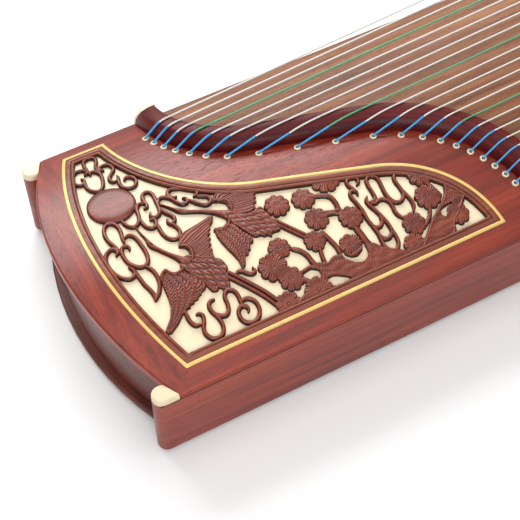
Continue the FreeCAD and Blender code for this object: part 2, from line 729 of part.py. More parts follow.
def movable_bridge_blank():
    """A bridge on the crown of the arch, at x = 0, before it is swung to its place."""
    z = AXIS_Z + ARCH_R
    top = z + MOVE_H
    def at(y, h):
        return V(-MOVE_T_FOOT, y, z + h)
    ankle = MOVE_FOOT - 3
    waist = MOVE_NECK + 1.5
    face = flat_face([
        line(at(-MOVE_NECK, MOVE_H), at(MOVE_NECK, MOVE_H)),
        arc(at(MOVE_NECK, MOVE_H), at(waist, MOVE_WAIST_H), at(ankle, MOVE_ANKLE)),
        line(at(ankle, MOVE_ANKLE), at(MOVE_FOOT, -4)), line(at(MOVE_FOOT, -4), at(MOVE_INNER, -4)),
        line(at(MOVE_INNER, -4), at(MOVE_INNER, MOVE_SPRING)),
        arc(at(MOVE_INNER, MOVE_SPRING), at(0, MOVE_ARCH_H), at(-MOVE_INNER, MOVE_SPRING)),
        line(at(-MOVE_INNER, MOVE_SPRING), at(-MOVE_INNER, -4)),
        line(at(-MOVE_INNER, -4), at(-MOVE_FOOT, -4)), line(at(-MOVE_FOOT, -4), at(-ankle, MOVE_ANKLE)),
        arc(at(-ankle, MOVE_ANKLE), at(-waist, MOVE_WAIST_H), at(-MOVE_NECK, MOVE_H))])
    body = face.extrude(V(2 * MOVE_T_FOOT, 0, 0))
    wedge = polygon([V(-MOVE_T_FOOT / 2, -50, z - 5), V(MOVE_T_FOOT / 2, -50, z - 5),
                     V(MOVE_T_TOP / 2, -50, top), V(-MOVE_T_TOP / 2, -50, top)])
    body = body.common(wedge.extrude(V(0, 100, 0)))
    return body.cut(rod(V(-20, 0, AXIS_Z), V(1, 0, 0), ARCH_R + MOVE_GAP, 40))


def movable_bridge(i, blank):
    groove = rod(V(-10, 0, AXIS_Z + ARCH_R + MOVE_H), V(1, 0, 0), string_d(i) / 2 + 0.15, 20)
    bridge = blank.cut(groove)
    bridge.rotate(V(0, 0, AXIS_Z), V(1, 0, 0), -degrees(bridge_angle(i)))
    bridge.translate(V(bridge_x(i), 0, 0))
    return bridge


def tuning_pin(i):
    x, y = pin_place(i)
    up = V(0, 0, 1)
    shank = rod(V(x, y, PIN_Z0), up, PIN_SHANK_R, BLOCK_Z1 - PIN_Z0 + 1.0)
    head_z = BLOCK_Z1 + 0.5
    head = rod(V(x, y, head_z), up, PIN_HEAD_R, PIN_Z1 - PIN_SQUARE_H - head_z)
    half = PIN_SQUARE / 2
    square = Part.makeBox(PIN_SQUARE, PIN_SQUARE, PIN_SQUARE_H + 1.0,
                          V(x - half, y - half, PIN_Z1 - PIN_SQUARE_H - 1.0))
    pin = fuse([shank, head, square])
    eye_z = PIN_Z1 - PIN_SQUARE_H - 1.8
    return pin.cut(rod(V(x - 5, y, eye_z), V(1, 0, 0), PIN_EYE_R, 10))


def pin_block():
    block = inner_prism(BLOCK_X0, BLOCK_X1, BLOCK_Z0, BLOCK_Z1)
    block = block.common(upright(body_plan(END_RECESS + END_T, SIDE_T)))
    bores = []
    for i in range(STRINGS):
        x, y = pin_place(i)
        bores.append(rod(V(x, y, PIN_Z0 - 0.5), V(0, 0, 1), PIN_SHANK_R + PIN_CLEAR, TALL))
    return block.cut(bores)


# ---------------------------------------------------------------- inside
def brace(x):
    z0 = BOTTOM_Z + BOTTOM_T
    block = inner_prism(x - BRACE_T / 2, x + BRACE_T / 2, z0, TALL)
    block = under_arch(block, ARCH_R - DECK_T)
    a = V(x - BRACE_T, -BRACE_SPAN, z0)
    b = V(x - BRACE_T, -BRACE_SPAN, z0 + BRACE_SHOULDER)
    c = V(x - BRACE_T, BRACE_SPAN, z0 + BRACE_SHOULDER)
    d = V(x - BRACE_T, BRACE_SPAN, z0)
    opening = flat_face([line(a, b), arc(b, V(x - BRACE_T, 0, z0 + BRACE_RISE), c),
                         line(c, d), line(d, a)])
    return block.cut(opening.extrude(V(2 * BRACE_T, 0, 0)))


def tail_rib():
    """Curved rib under the tail bridge, across the joint of tail deck and soundboard."""
    band = tail_side_of(DECK_JOINT + 7).cut(tail_side_of(DECK_JOINT - 7))
    band = band.common(body_plan(END_RECESS + END_T, SIDE_T))
    return layer(band, ARCH_R - DECK_T - RIB_DEPTH, ARCH_R - DECK_T)


def braces():
    pieces = [brace(x) for x in BRACE_XS] + [tail_rib()]
    room = upright(body_plan(END_RECESS + END_T, SIDE_T))
    for x in (BLOCK_X0 + BEARER_INSET, BLOCK_X1 - BEARER_INSET - BEARER_T):
        bearer = inner_prism(x, x + BEARER_T, BOTTOM_Z + BOTTOM_T, BLOCK_Z0)
        pieces.append(bearer.common(room))
    return Part.makeCompound(pieces)


def feet():
    discs = []
    for sx in (-1, 1):
        for sy in (-1, 1):
            disc = rod(V(sx * 700, sy * 112, 0), V(0, 0, 1), FOOT_R, FOOT_H)
            low = [e for e in disc.Edges if e.BoundBox.ZMax < 0.01]
            discs.append(disc.makeFillet(1.0, low))
    return Part.makeCompound(discs)


# ---------------------------------------------------------------- build
os.makedirs("parts", exist_ok=True)

sides = side_boards()
save("side_boards", sides)
save("bottom_board", bottom_board())
save("end_boards", end_boards())
save("tail_deck", tail_deck(sides))
save("soundboard", soundboard(sides))
save("head_deck", head_deck(sides))
save("tail_bridge", tail_bridge())
save("front_bridge", front_bridge())
save("bone_fittings", bone_fittings(sides))
save("carved_panel", carved_panel(sides))
save("panel_backing", panel_backing(sides))
save("gold_inlay", gold_inlay())
save("pin_block", pin_block())
save("braces", braces())
save("feet", feet())
save("strings", strings())
save("box_lid", box_lid())
save("lid_pivot_pins", lid_pivot_pins())

blank = movable_bridge_blank()
for i in range(STRINGS):
    save("bridge_%02d" % (i + 1), movable_bridge(i, blank))
    save("tuning_pin_%02d" % (i + 1), tuning_pin(i))
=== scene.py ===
import json
import bpy
import numpy as np
from math import acos, asin, atan2, cos, hypot, pi, radians, sin, sqrt
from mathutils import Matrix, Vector


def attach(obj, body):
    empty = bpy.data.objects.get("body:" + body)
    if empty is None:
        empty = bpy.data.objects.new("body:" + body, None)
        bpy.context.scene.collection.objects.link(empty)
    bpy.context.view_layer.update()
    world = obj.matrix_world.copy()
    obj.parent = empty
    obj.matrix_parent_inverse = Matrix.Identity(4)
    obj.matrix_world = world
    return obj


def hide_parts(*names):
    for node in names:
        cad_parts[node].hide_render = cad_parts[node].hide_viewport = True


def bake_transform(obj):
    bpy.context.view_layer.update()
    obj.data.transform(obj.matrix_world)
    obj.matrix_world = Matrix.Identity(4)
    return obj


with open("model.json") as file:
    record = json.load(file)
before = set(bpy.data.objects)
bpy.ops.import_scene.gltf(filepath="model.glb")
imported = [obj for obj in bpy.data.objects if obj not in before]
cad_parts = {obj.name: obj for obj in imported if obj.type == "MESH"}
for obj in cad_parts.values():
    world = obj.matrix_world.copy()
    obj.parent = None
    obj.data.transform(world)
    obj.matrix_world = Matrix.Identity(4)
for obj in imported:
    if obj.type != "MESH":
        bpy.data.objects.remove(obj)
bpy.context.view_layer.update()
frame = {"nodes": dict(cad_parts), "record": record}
nodes = frame["nodes"]

# ================================================================ measures, in millimetres
LENGTH = 1630.0
HALF_WIDTH_TAIL = 150.0
TAPER = 0.0077            # growth of the half width per millimetre toward the head
FOOT_H = 6.0
CROWN_H = 106.0           # from the bottom board's underside to the crown of the deck
ARCH_R = 430.0            # the cross arch of the whole top
AXIS_Z = FOOT_H + CROWN_H - ARCH_R
POST_SETBACK = 18.5
DECK_T = 8.5
DECK_EDGE_T = 2.4         # wood left above the side boards
TAIL_X = -LENGTH / 2
STRINGS = 21
PITCH_TAIL = 11.69
PITCH_HEAD = 12.5
STRING_D_THIN = 1.2
STRING_D_THICK = 1.8
EYELET_FLANGE_H = 1.1
S_RA, S_RB = 146.0, 114.0  # the S of the tail bridge: two arcs and their common tangent
AX, AY = TAIL_X + 247.5, 144.0
BX, BY = TAIL_X + 271.5, -138.0
NORMAL_ANGLE = atan2(AY - BY, AX - BX) - acos((S_RA + S_RB) / hypot(AX - BX, AY - BY))
NX, NY = cos(NORMAL_ANGLE), sin(NORMAL_ANGLE)
EYELET_OFFSET = 33.5
BRIDGE_FOOT = 40.0        # offset of the tail bridge's tail-side foot
BRIDGE_FAR_Y = 148.5
BRIDGE_NEAR_Y = -150.5
BRIDGE_PROFILE = ((0.0, 0.0), (1.4, 6.0), (4.6, 10.8), (9.2, 14.2), (14.8, 16.0), (20.6, 16.4),
                  (22.5, 15.0), (22.5, 0.0))
PANEL_TOP_Y = 137.0
PANEL_TAIL_X = 28.5
PANEL_TAIL_R = 324.0
PANEL_MARGIN = 19.0
PANEL_DEPTH = 5.0
FRONT_X = 582.5
FRONT_W = 18.0
FRONT_H = 16.0
FRONT_ROUND = 6.5
HEAD_EYELET_X = 606.5
MOVE_H = 52.0             # movable bridges, from the soundboard to the string
MOVE_T_FOOT = 9.0
MOVE_T_TOP = 5.0
MOVE_GAP = 0.35           # from the soundboard to the feet, so that the bridge can slide
SCALE_TREBLE = 230.0      # from the front bridge to the first movable bridge
SCALE_STEP = 18.5
SCALE_GROWTH = 0.325
PIN_ROWS = (664.0, 702.0, 740.0)
PIN_HEAD_R = 3.2
PIN_STRING_Z = 66.0
COIL_TURNS = 4


def deck_z(y, r=ARCH_R):
    return AXIS_Z + np.sqrt(r * r - np.asarray(y, float) ** 2)


def half_width(x):
    return HALF_WIDTH_TAIL + TAPER * (x - TAIL_X - POST_SETBACK)


# ================================================================ plan curves
def s_a(angle, offset):
    return AX + (S_RA - offset) * cos(angle), AY + (S_RA - offset) * sin(angle)


def s_b(angle, offset):
    return BX + (S_RB + offset) * cos(angle), BY + (S_RB + offset) * sin(angle)


def s_x(y, offset):
    """x of the S curve at y; offsets grow towards the soundboard."""
    ta = s_a(NORMAL_ANGLE + pi, offset)
    tb = s_b(NORMAL_ANGLE, offset)
    if y >= AY:
        return AX - (S_RA - offset)
    if y >= ta[1]:
        return AX - sqrt((S_RA - offset) ** 2 - (AY - y) ** 2)
    if y >= tb[1]:
        return ta[0] + (ta[1] - y) * NY / NX
    if y >= BY:
        return BX + sqrt((S_RB + offset) ** 2 - (y - BY) ** 2)
    return BX + S_RB + offset


def panel_outline(inset, steps=44):
    """The inlay's outline moved inwards, as one closed row of points: S side, straight side,
    bowed tail side, straight top. Every inset has the same number of points."""
    top = PANEL_TOP_Y - inset
    r_tail = PANEL_TAIL_R - inset
    centre_x = TAIL_X + PANEL_TAIL_X + PANEL_TAIL_R
    a_start = pi + asin((AY - top) / (S_RA + inset))
    xr, xl = s_x(BY, -inset), centre_x - r_tail
    yr = yl = 0.0
    for _ in range(6):
        yr = -(half_width(xr) - PANEL_MARGIN - inset)
        xr = BX + sqrt((S_RB - inset) ** 2 - (yr - BY) ** 2)
        yl = -(half_width(xl) - PANEL_MARGIN - inset)
        xl = centre_x - sqrt(r_tail ** 2 - yl ** 2)
    b_end = atan2(yr - BY, xr - BX)
    rows = []
    a_tan = NORMAL_ANGLE + pi
    for k in range(steps):
        rows.append(s_a(a_start + (a_tan - a_start) * k / steps, -inset))
    ta, tb = s_a(a_tan, -inset), s_b(NORMAL_ANGLE, -inset)
    for k in range(steps // 2):
        t = 2 * k / steps
        rows.append((ta[0] + (tb[0] - ta[0]) * t, ta[1] + (tb[1] - ta[1]) * t))
    for k in range(steps):
        rows.append(s_b(NORMAL_ANGLE + (b_end - NORMAL_ANGLE) * k / steps, -inset))
    for k in range(steps):
        t = k / steps
        rows.append((xr + (xl - xr) * t, yr + (yl - yr) * t))
    a0 = atan2(yl, xl - centre_x) % (2 * pi)
    a1 = pi - asin(top / r_tail)
    for k in range(steps):
        a = a0 + (a1 - a0) * k / steps
        rows.append((centre_x + r_tail * cos(a), r_tail * sin(a)))
    xt = centre_x + r_tail * cos(a1)
    xs = s_a(a_start, -inset)[0]
    for k in range(steps):
        t = k / steps
        rows.append((xt + (xs - xt) * t, top))
    return np.array(rows)


def curve(points, step=0.8, closed=False):
    """A smooth row of points through the given ones."""
    p = np.array(points, float)
    if closed:
        ring = np.vstack([p[-1], p, p[0], p[1]])
    else:
        ring = np.vstack([2 * p[0] - p[1], p, 2 * p[-1] - p[-2]])
    out = []
    for k in range(1, len(ring) - 2):
        a, b, c, d = ring[k - 1:k + 3]
        n = max(2, int(np.linalg.norm(c - b) / step) + 1)
        for t in np.arange(n) / n:
            out.append(0.5 * (2 * b + (c - a) * t + (2 * a - 5 * b + 4 * c - d) * t * t
                              + (3 * b - a - 3 * c + d) * t ** 3))
    if not closed:
        out.append(ring[-2])
    return np.array(out)


# ================================================================ meshes
def distances(row):
    """How far along a row of points each of its points lies."""
    return np.concatenate([[0], np.cumsum(np.linalg.norm(np.diff(row, axis=0), axis=1))])


def end_caps(rows, cols):
    """The two faces that close a bar made of rows of points."""
    return [tuple(range(cols)), tuple(range(rows * cols - 1, (rows - 1) * cols - 1, -1))]


def mesh_object(name, verts, faces, material, slot, uv=None):
    """A mesh from millimetres. uv is one pair per vertex."""
    mesh = bpy.data.meshes.new(name)
    mesh.from_pydata([tuple(v) for v in np.asarray(verts, float) / 1000.0], [], faces)
    mesh.validate()
    if uv is not None:
        layer = mesh.uv_layers.new(name="UVMap")
        loops = np.zeros(len(mesh.loops), int)
        mesh.loops.foreach_get("vertex_index", loops)
        layer.data.foreach_set("uv", np.asarray(uv, float)[loops].ravel())
    mesh.materials.append(material)
    mesh.polygons.foreach_set("use_smooth", [True] * len(mesh.polygons))
    mesh.update()
    obj = bpy.data.objects.new(name, mesh)
    bpy.context.scene.collection.objects.link(obj)
    return obj


def grid_faces(rows, cols, close_cols=False):
    """Quads between the points of a rows by cols table."""
    faces = []
    for r in range(rows - 1):
        for c in range(cols if close_cols else cols - 1):
            c1 = (c + 1) % cols
            faces.append((r * cols + c, (r + 1) * cols + c, (r + 1) * cols + c1, r * cols + c1))
    return faces


def tube(points, radii, sides=10):
    """Vertices and faces of a round bar along a row of points."""
    p = np.asarray(points, float)
    r = np.broadcast_to(np.asarray(radii, float), (len(p),))
    t = np.gradient(p, axis=0)
    t /= np.linalg.norm(t, axis=1)[:, None]
    up = np.array((0.0, 1.0, 0.0)) if abs(t[0][1]) < 0.9 else np.array((1.0, 0.0, 0.0))
    a = np.linspace(0, 2 * pi, sides, endpoint=False)
    verts = []
    n = up - t[0] * up.dot(t[0])
    for k in range(len(p)):
        n = n - t[k] * n.dot(t[k])
        n /= np.linalg.norm(n)
        b = np.cross(t[k], n)
        verts.append(p[k] + r[k] * (np.cos(a)[:, None] * n + np.sin(a)[:, None] * b))
    return np.vstack(verts), grid_faces(len(p), sides, close_cols=True) + end_caps(len(p), sides)


def joined(parts):
    """Several (verts, faces) as one."""
    verts, faces, base = [], [], 0
    for v, f in parts:
        verts.append(v)
        faces += [tuple(i + base for i in q) for q in f]
        base += len(v)
    return np.vstack(verts), faces


# ================================================================ materials
def lin(r, g, b):
    """A display colour, 0 to 255, as linear light."""
    return tuple(((c / 255 + 0.055) / 1.055) ** 2.4 if c > 10 else c / 3294.6
                 for c in (r, g, b)) + (1.0,)


class Graph:
    """Short ways to add nodes to a material."""
    def __init__(self, name):
        self.material = bpy.data.materials.new(name)
        self.material.use_nodes = True
        self.tree = self.material.node_tree
        self.shader = self.tree.nodes["Principled BSDF"]

    def node(self, kind, inputs=(), **settings):
        n = self.tree.nodes.new(kind)
        for key, value in settings.items():
            setattr(n, key, value)
        for key, value in dict(inputs).items():
            if hasattr(value, "is_linked"):
                self.tree.links.new(value, n.inputs[key])
            else:
                n.inputs[key].default_value = value
        return n

    def math(self, operation, a, b=0.0):
        return self.node("ShaderNodeMath", {0: a, 1: b}, operation=operation).outputs[0]

    def scaled(self, vector, x, y, z):
        return self.node("ShaderNodeVectorMath", {0: vector, 1: (x, y, z)},
                         operation="MULTIPLY").outputs[0]

    def noise(self, vector, scale=1.0, detail=3.0, rough=0.55):
        n = self.node("ShaderNodeTexNoise", {"Vector": vector, "Scale": scale, "Detail": detail,
                                             "Roughness": rough})
        return n.outputs["Fac"]

    def ramp(self, fac, *stops):
        n = self.node("ShaderNodeValToRGB", {0: fac})
        while len(n.color_ramp.elements) < len(stops):
            n.color_ramp.elements.new(0.5)
        for element, (at, colour) in zip(n.color_ramp.elements, stops):
            element.position = at
            element.color = colour if len(colour) == 4 else (*colour, 1)
        return n.outputs[0]

    def mix(self, fac, a, b):
        return self.node("ShaderNodeMix", {0: fac, 6: a, 7: b}, data_type="RGBA").outputs[2]

    def span(self, value, a0, a1, b0, b1):
        return self.node("ShaderNodeMapRange", {0: value, 1: a0, 2: a1, 3: b0, 4: b1}).outputs[0]

    def bump(self, height, distance, strength=1.0):
        n = self.node("ShaderNodeBump", {"Height": height, "Distance": distance,
                                         "Strength": strength})
        self.tree.links.new(n.outputs[0], self.shader.inputs["Normal"])

    def put(self, socket, value):
        if hasattr(value, "is_linked"):
            self.tree.links.new(value, self.shader.inputs[socket])
        else:
            self.shader.inputs[socket].default_value = value


def grey(v):
    return (v, v, v, 1)


def shade(colour, share):
    return tuple(share * c for c in colour[:3]) + (1,)


GRAIN_WANDER = 0.005      # metres that the grain strays from straight


def wood(name, dark, mid, light, rough=0.34, coat=0.25, coat_rough=0.2, fibre=1.0, pores=0.5,
         streaks=0.5, grain="X", bump=0.00012, dirt=0.0, corner_mask=False, hollows=False,
         specular=0.5):
    """Wood with its grain along one axis: broad bands, streaks, fibres and open pores.

    corner_mask turns the grain across in the mitred end strip of the tail deck, and hollows paints
    shade into the grooves and a highlight onto the raised points of a carving that has a "hollow"
    value at each point.
    """
    g = Graph(name)
    at = g.node("ShaderNodeTexCoord").outputs["UV" if grain == "UV" else "Object"]
    x, y, z = g.node("ShaderNodeSeparateXYZ", {0: at}).outputs
    turned = g.node("ShaderNodeCombineXYZ", {0: y, 1: x, 2: z}).outputs[0]
    if grain == "Y":
        at = turned
    if grain == "Z":
        at = g.node("ShaderNodeCombineXYZ", {0: z, 1: y, 2: x}).outputs[0]
    if corner_mask:
        # the end border of the tail deck is a separate, mitred strip with its grain across
        side = g.math("MAXIMUM", g.math("SUBTRACT", g.math("ABSOLUTE", y), 0.133), 0.0)
        edge = g.math("SUBTRACT", (TAIL_X + 57.5) / 1000, g.math("MULTIPLY", side, 0.97))
        strip = g.math("LESS_THAN", x, edge)
        at = g.node("ShaderNodeMix", {0: strip, 4: at, 5: turned}, data_type="VECTOR").outputs[1]
    wave = g.noise(g.scaled(at, 3.0, 14.0, 14.0), detail=2.0)
    lift = g.math("MULTIPLY", g.math("SUBTRACT", wave, 0.5), GRAIN_WANDER)
    shift = g.node("ShaderNodeCombineXYZ", {0: 0.0, 1: lift, 2: lift}).outputs[0]
    at = g.node("ShaderNodeVectorMath", {0: at, 1: shift}, operation="ADD").outputs[0]
    broad = g.noise(g.scaled(at, 2.0, 30.0, 30.0), detail=2.0)
    bands = g.noise(g.scaled(at, 5.0, 150.0, 150.0), detail=5.0, rough=0.62)
    fibres = g.noise(g.scaled(at, 22.0, 900.0, 900.0), detail=3.0, rough=0.6)
    pore = g.noise(g.scaled(at, 110.0, 2600.0, 2600.0), detail=1.0)
    pore = g.span(pore, 0.62, 0.70, 0.0, 1.0)
    tone = g.math("ADD", g.math("MULTIPLY", bands, 0.5),
                  g.math("ADD", g.math("MULTIPLY", broad, 0.2), g.math("MULTIPLY", fibres, 0.3)))
    colour = g.ramp(tone, (0.36, dark), (0.5, mid), (0.64, light))
    lines = g.span(g.noise(g.scaled(at, 4.5, 480.0, 480.0), detail=4.0, rough=0.7),
                   0.56, 0.70, 0.0, streaks)
    colour = g.mix(lines, colour, dark)
    thread = g.span(fibres, 0.42, 0.7, 0.0, 0.5 * fibre)
    colour = g.mix(thread, colour, dark)
    colour = g.mix(g.math("MULTIPLY", pore, pores), colour, shade(dark, 0.35))
    if dirt:
        worn = g.span(g.noise(at, scale=9.0, detail=4.0), 0.5, 0.72, 0.0, dirt)
        colour = g.mix(worn, colour, dark)
    # painted shade darkens the carving's grooves and painted highlight lightens its raised points
    if hollows:
        hollow = g.node("ShaderNodeAttribute", {}, attribute_name="hollow").outputs["Fac"]
        colour = g.mix(g.span(hollow, 0.08, 0.75, 0.0, 0.85), colour, shade(dark, 0.25))
        colour = g.mix(g.span(hollow, -0.1, -0.7, 0.0, 0.6), colour, light)
    g.put("Base Color", colour)
    smear = g.noise(at, scale=14.0, detail=3.0)
    shine = g.math("ADD", g.span(smear, 0.3, 0.7, rough - 0.05, rough + 0.06),
                   g.math("MULTIPLY", pore, 0.2))
    g.put("Roughness", shine)
    g.put("Coat Weight", coat)
    g.put("Coat Roughness", coat_rough)
    g.put("Specular IOR Level", specular)
    height = g.math("SUBTRACT", g.math("MULTIPLY", fibres, 0.35 * fibre), pore)
    g.bump(height, bump, 0.6)
    return g.material


def plain(name, colour, other, rough=0.4, metal=0.0, scale=60.0, bump=0.0, coat=0.0, spread=0.5):
    """A smooth stuff with a slight change of tone and gloss over its surface."""
    g = Graph(name)
    at = g.node("ShaderNodeTexCoord").outputs["Object"]
    cloud = g.noise(at, scale=scale, detail=4.0, rough=0.6)
    g.put("Base Color", g.mix(g.span(cloud, 0.35, 0.7, 0.0, spread), colour, other))
    g.put("Roughness", g.span(cloud, 0.3, 0.7, rough - 0.06, rough + 0.08))
    g.put("Metallic", metal)
    g.put("Coat Weight", coat)
    if bump:
        g.bump(g.noise(at, scale=scale * 12, detail=3.0), bump, 0.5)
    return g.material


def wound(name, colour, pitch, rough=0.4):
    """Thread wound closely about a string that runs along X, with painted shade in the grooves
    between turns.
    """
    g = Graph(name)
    at = g.node("ShaderNodeTexCoord").outputs["Object"]
    x = g.node("ShaderNodeSeparateXYZ", {0: at}).outputs[0]
    turn = g.math("FRACT", g.math("DIVIDE", x, pitch))
    ridge = g.math("SINE", g.math("MULTIPLY", turn, pi))
    # the grooves between turns are darkened toward near black: painted shade
    g.put("Base Color", g.mix(g.span(ridge, 0.0, 0.6, 0.35, 0.0), colour, grey(0.05)))
    g.put("Roughness", rough)
    g.bump(ridge, pitch * 0.3, 0.5)
    return g.material


ROSE_DARK, ROSE_MID, ROSE_LIGHT = lin(78, 18, 6), lin(138, 39, 12), lin(170, 62, 24)
rosewood = wood("rosewood", ROSE_DARK, ROSE_MID, ROSE_LIGHT, rough=0.36, coat=0.05, streaks=0.5)
rosewood_tail = wood("rosewood_tail_deck", ROSE_DARK, ROSE_MID, ROSE_LIGHT, rough=0.34, coat=0.1,
                     streaks=0.5, corner_mask=True)
rosewood_end = wood("rosewood_end_board", lin(72, 26, 18), lin(104, 42, 28), lin(124, 56, 38),
                    rough=0.4, coat=0.1, grain="Y", streaks=0.5)
bridge_red = wood("dark_rosewood_bridge", lin(42, 4, 8), lin(92, 10, 14), lin(136, 36, 14),
                  rough=0.4, coat=0.03, coat_rough=0.14, specular=0.22, grain="UV",
                  streaks=0.35, pores=0.25,
                  bump=0.00004)
dark_rosewood = wood("dark_rosewood", lin(52, 14, 14), lin(88, 28, 22), lin(112, 42, 30),
                     rough=0.24, coat=0.6, coat_rough=0.08, grain="Y", pores=0.3)
paulownia = wood("paulownia", lin(82, 42, 16), lin(142, 84, 42), lin(178, 118, 66), rough=0.55,
                 coat=0.05, fibre=1.3, pores=0.35, streaks=0.75, bump=0.0002)
bottom_wood = wood("bottom_board_wood", lin(120, 84, 52), lin(172, 132, 90), lin(196, 158, 112),
                   rough=0.55, coat=0.0, dirt=0.15)
# hollows=True paints shade into the carving's grooves and highlights onto its raised points
carving_wood = wood("carved_rosewood", lin(66, 20, 8), lin(118, 42, 18), lin(150, 64, 32),
                    rough=0.32, coat=0.2, coat_rough=0.2, streaks=0.3, pores=0.2, bump=0.00006,
                    hollows=True, specular=0.4)
# dark wood for the carving's walls and the moulding's groove and inner edge: painted shade
carving_shade = wood("carving_walls_painted_shade", lin(34, 12, 6), lin(52, 20, 10), lin(66, 28, 16),
                     rough=0.7, coat=0.0, streaks=0.2, pores=0.2)
# near-black for the strip along the deck joints: painted shade
seam_shadow = plain("seam_shadow", lin(16, 6, 4), lin(24, 9, 6), rough=0.9)
moulding_wood = wood("moulding_rosewood", lin(88, 34, 14), lin(132, 56, 26), lin(158, 78, 42),
                     rough=0.36, coat=0.1, streaks=0.4)
bridge_wood = wood("movable_bridge_wood", lin(48, 18, 12), lin(84, 36, 24), lin(112, 54, 36),
                   rough=0.3, coat=0.3, grain="Z", pores=0.5)
maple = wood("maple", lin(150, 112, 70), lin(196, 154, 102), lin(220, 182, 130), rough=0.5,
             coat=0.0, grain="Y")
spruce = wood("spruce", lin(160, 126, 84), lin(198, 162, 112), lin(220, 190, 142), rough=0.65,
              coat=0.0, grain="Y")
cream = plain("cream_painted_board", lin(243, 224, 190), lin(236, 214, 176), rough=0.55, scale=25.0,
              bump=0.00003)
gold = plain("gold_inlay_line", lin(224, 194, 118), lin(206, 170, 90), rough=0.34, scale=120.0,
             metal=0.25, bump=0.00002)
bone = plain("polished_bone", lin(224, 208, 174), lin(206, 186, 146), rough=0.3, scale=70.0,
             coat=0.3)
steel = plain("nickel_steel", lin(188, 188, 186), lin(150, 150, 150), rough=0.26, metal=1.0)
brass = plain("brass", lin(214, 176, 96), lin(180, 140, 70), rough=0.3, metal=1.0)
rubber = plain("rubber", lin(34, 34, 34), lin(48, 48, 46), rough=0.8, bump=0.0001)
nylon_white = wound("string_white", lin(226, 228, 224), 0.0006, 0.35)
nylon_green = wound("string_green", lin(64, 176, 132), 0.0006, 0.35)
thread_blue = wound("winding_blue", lin(58, 168, 232), 0.0009, 0.5)

SLOT_MATERIAL = {
    "rosewood": rosewood, "dark_rosewood": dark_rosewood, "paulownia": paulownia,
    "bottom_wood": bottom_wood, "bone": bone, "carving": carving_wood, "cream_backing": cream,
    "gold_inlay": gold, "maple": maple, "spruce": spruce, "rubber": rubber,
    "string_cover": nylon_white, "brass": brass, "bridge_wood": bridge_wood, "steel": steel}
for part in frame["record"]["subparts"]:
    mesh = nodes[part["node"]].data
    mesh.materials.clear()
    mesh.materials.append(SLOT_MATERIAL[part["material_slot"]])
for name, material in (("tail_deck", rosewood_tail), ("end_boards", rosewood_end),
                       ("bottom_board", rosewood_end)):
    nodes[name].data.materials.clear()
    nodes[name].data.materials.append(material)
# the bottom board's underside is plain wood, and its rim is stained
nodes["bottom_board"].data.materials.append(bottom_wood)
for polygon in nodes["bottom_board"].data.polygons:
    polygon.material_index = int(polygon.normal.z < -0.9)

# ================================================================ carved panel
CELL = 0.5
GRID_U = np.arange(30.0, 384.0, CELL)
GRID_V = np.arange(-134.0, 130.0, CELL)
inside = np.full((len(GRID_V), len(GRID_U)), -50.0)   # distance inside the nearest carved edge
height = np.full(inside.shape, -50.0)                 # carved surface below the deck, in mm
edge_h = np.full(inside.shape, -3.0)
LOW, TOP = -3.0, -0.9     # foot and crown of a carved form, measured from the deck's surface


def window(points, margin):
    """The part of the grid about some points, and the plan coordinates in it."""
    p = np.asarray(points, float)
    u0, v0 = p.min(0) - margin
    u1, v1 = p.max(0) + margin
    i0, i1 = np.searchsorted(GRID_U, (u0, u1))
    j0, j1 = np.searchsorted(GRID_V, (v0, v1))
    uu, vv = np.meshgrid(GRID_U[i0:i1], GRID_V[j0:j1])
    return (slice(j0, j1), slice(i0, i1)), uu, vv


def nearest(uu, vv, row):
    """Distance to a row of points, how far along it that is (0 to 1), and the side."""
    best = np.full(uu.shape, 1e9)
    along = np.zeros(uu.shape)
    side = np.zeros(uu.shape)
    lengths = np.linalg.norm(np.diff(row, axis=0), axis=1)
    starts = np.concatenate([[0], np.cumsum(lengths)])
    for k in range(len(row) - 1):
        ax, ay = row[k]
        dx, dy = row[k + 1] - row[k]
        if lengths[k] < 1e-9:
            continue
        t = np.clip(((uu - ax) * dx + (vv - ay) * dy) / lengths[k] ** 2, 0, 1)
        ex, ey = uu - ax - t * dx, vv - ay - t * dy
        d = ex * ex + ey * ey
        closer = d < best
        best = np.where(closer, d, best)
        along = np.where(closer, (starts[k] + t * lengths[k]) / starts[-1], along)
        side = np.where(closer, np.sign(dx * ey - dy * ex), side)
    return np.sqrt(best), along, side, starts[-1]


def inside_of(uu, vv, ring):
    """Distance inside a closed row of points, negative outside."""
    closed = np.vstack([ring, ring[:1]])
    d = nearest(uu, vv, closed)[0]
    odd = np.zeros(uu.shape, bool)
    for (ax, ay), (bx, by) in zip(closed[:-1], closed[1:]):
        if ay == by:
            continue
        crosses = (ay > vv) != (by > vv)
        odd ^= crosses & (uu < (bx - ax) * (vv - ay) / (by - ay) + ax)
    return np.where(odd, d, -d)


def add(where, d, h, base=LOW):
    """Lay one carved form over the ones already there."""
    old_in, old_h, old_e = inside[where], height[where], edge_h[where]
    edge_h[where] = np.where(d > old_in, base, old_e)
    height[where] = np.where(d > 0, np.maximum(old_h, h), old_h)
    inside[where] = np.maximum(old_in, d)


def cut(where, d):
    """Take an opening out of the carving."""
    inside[where] = np.minimum(inside[where], -d)


def rounded(d, width, low=LOW, top=TOP):
    """Height of an edge that rounds over within a width."""
    t = np.clip(d / width, 0, 1)
    return low + (top - low) * np.sqrt(1 - (1 - t) ** 2)


SCROLL_TAPER = 6.0        # a ribbon narrows over this length at each end


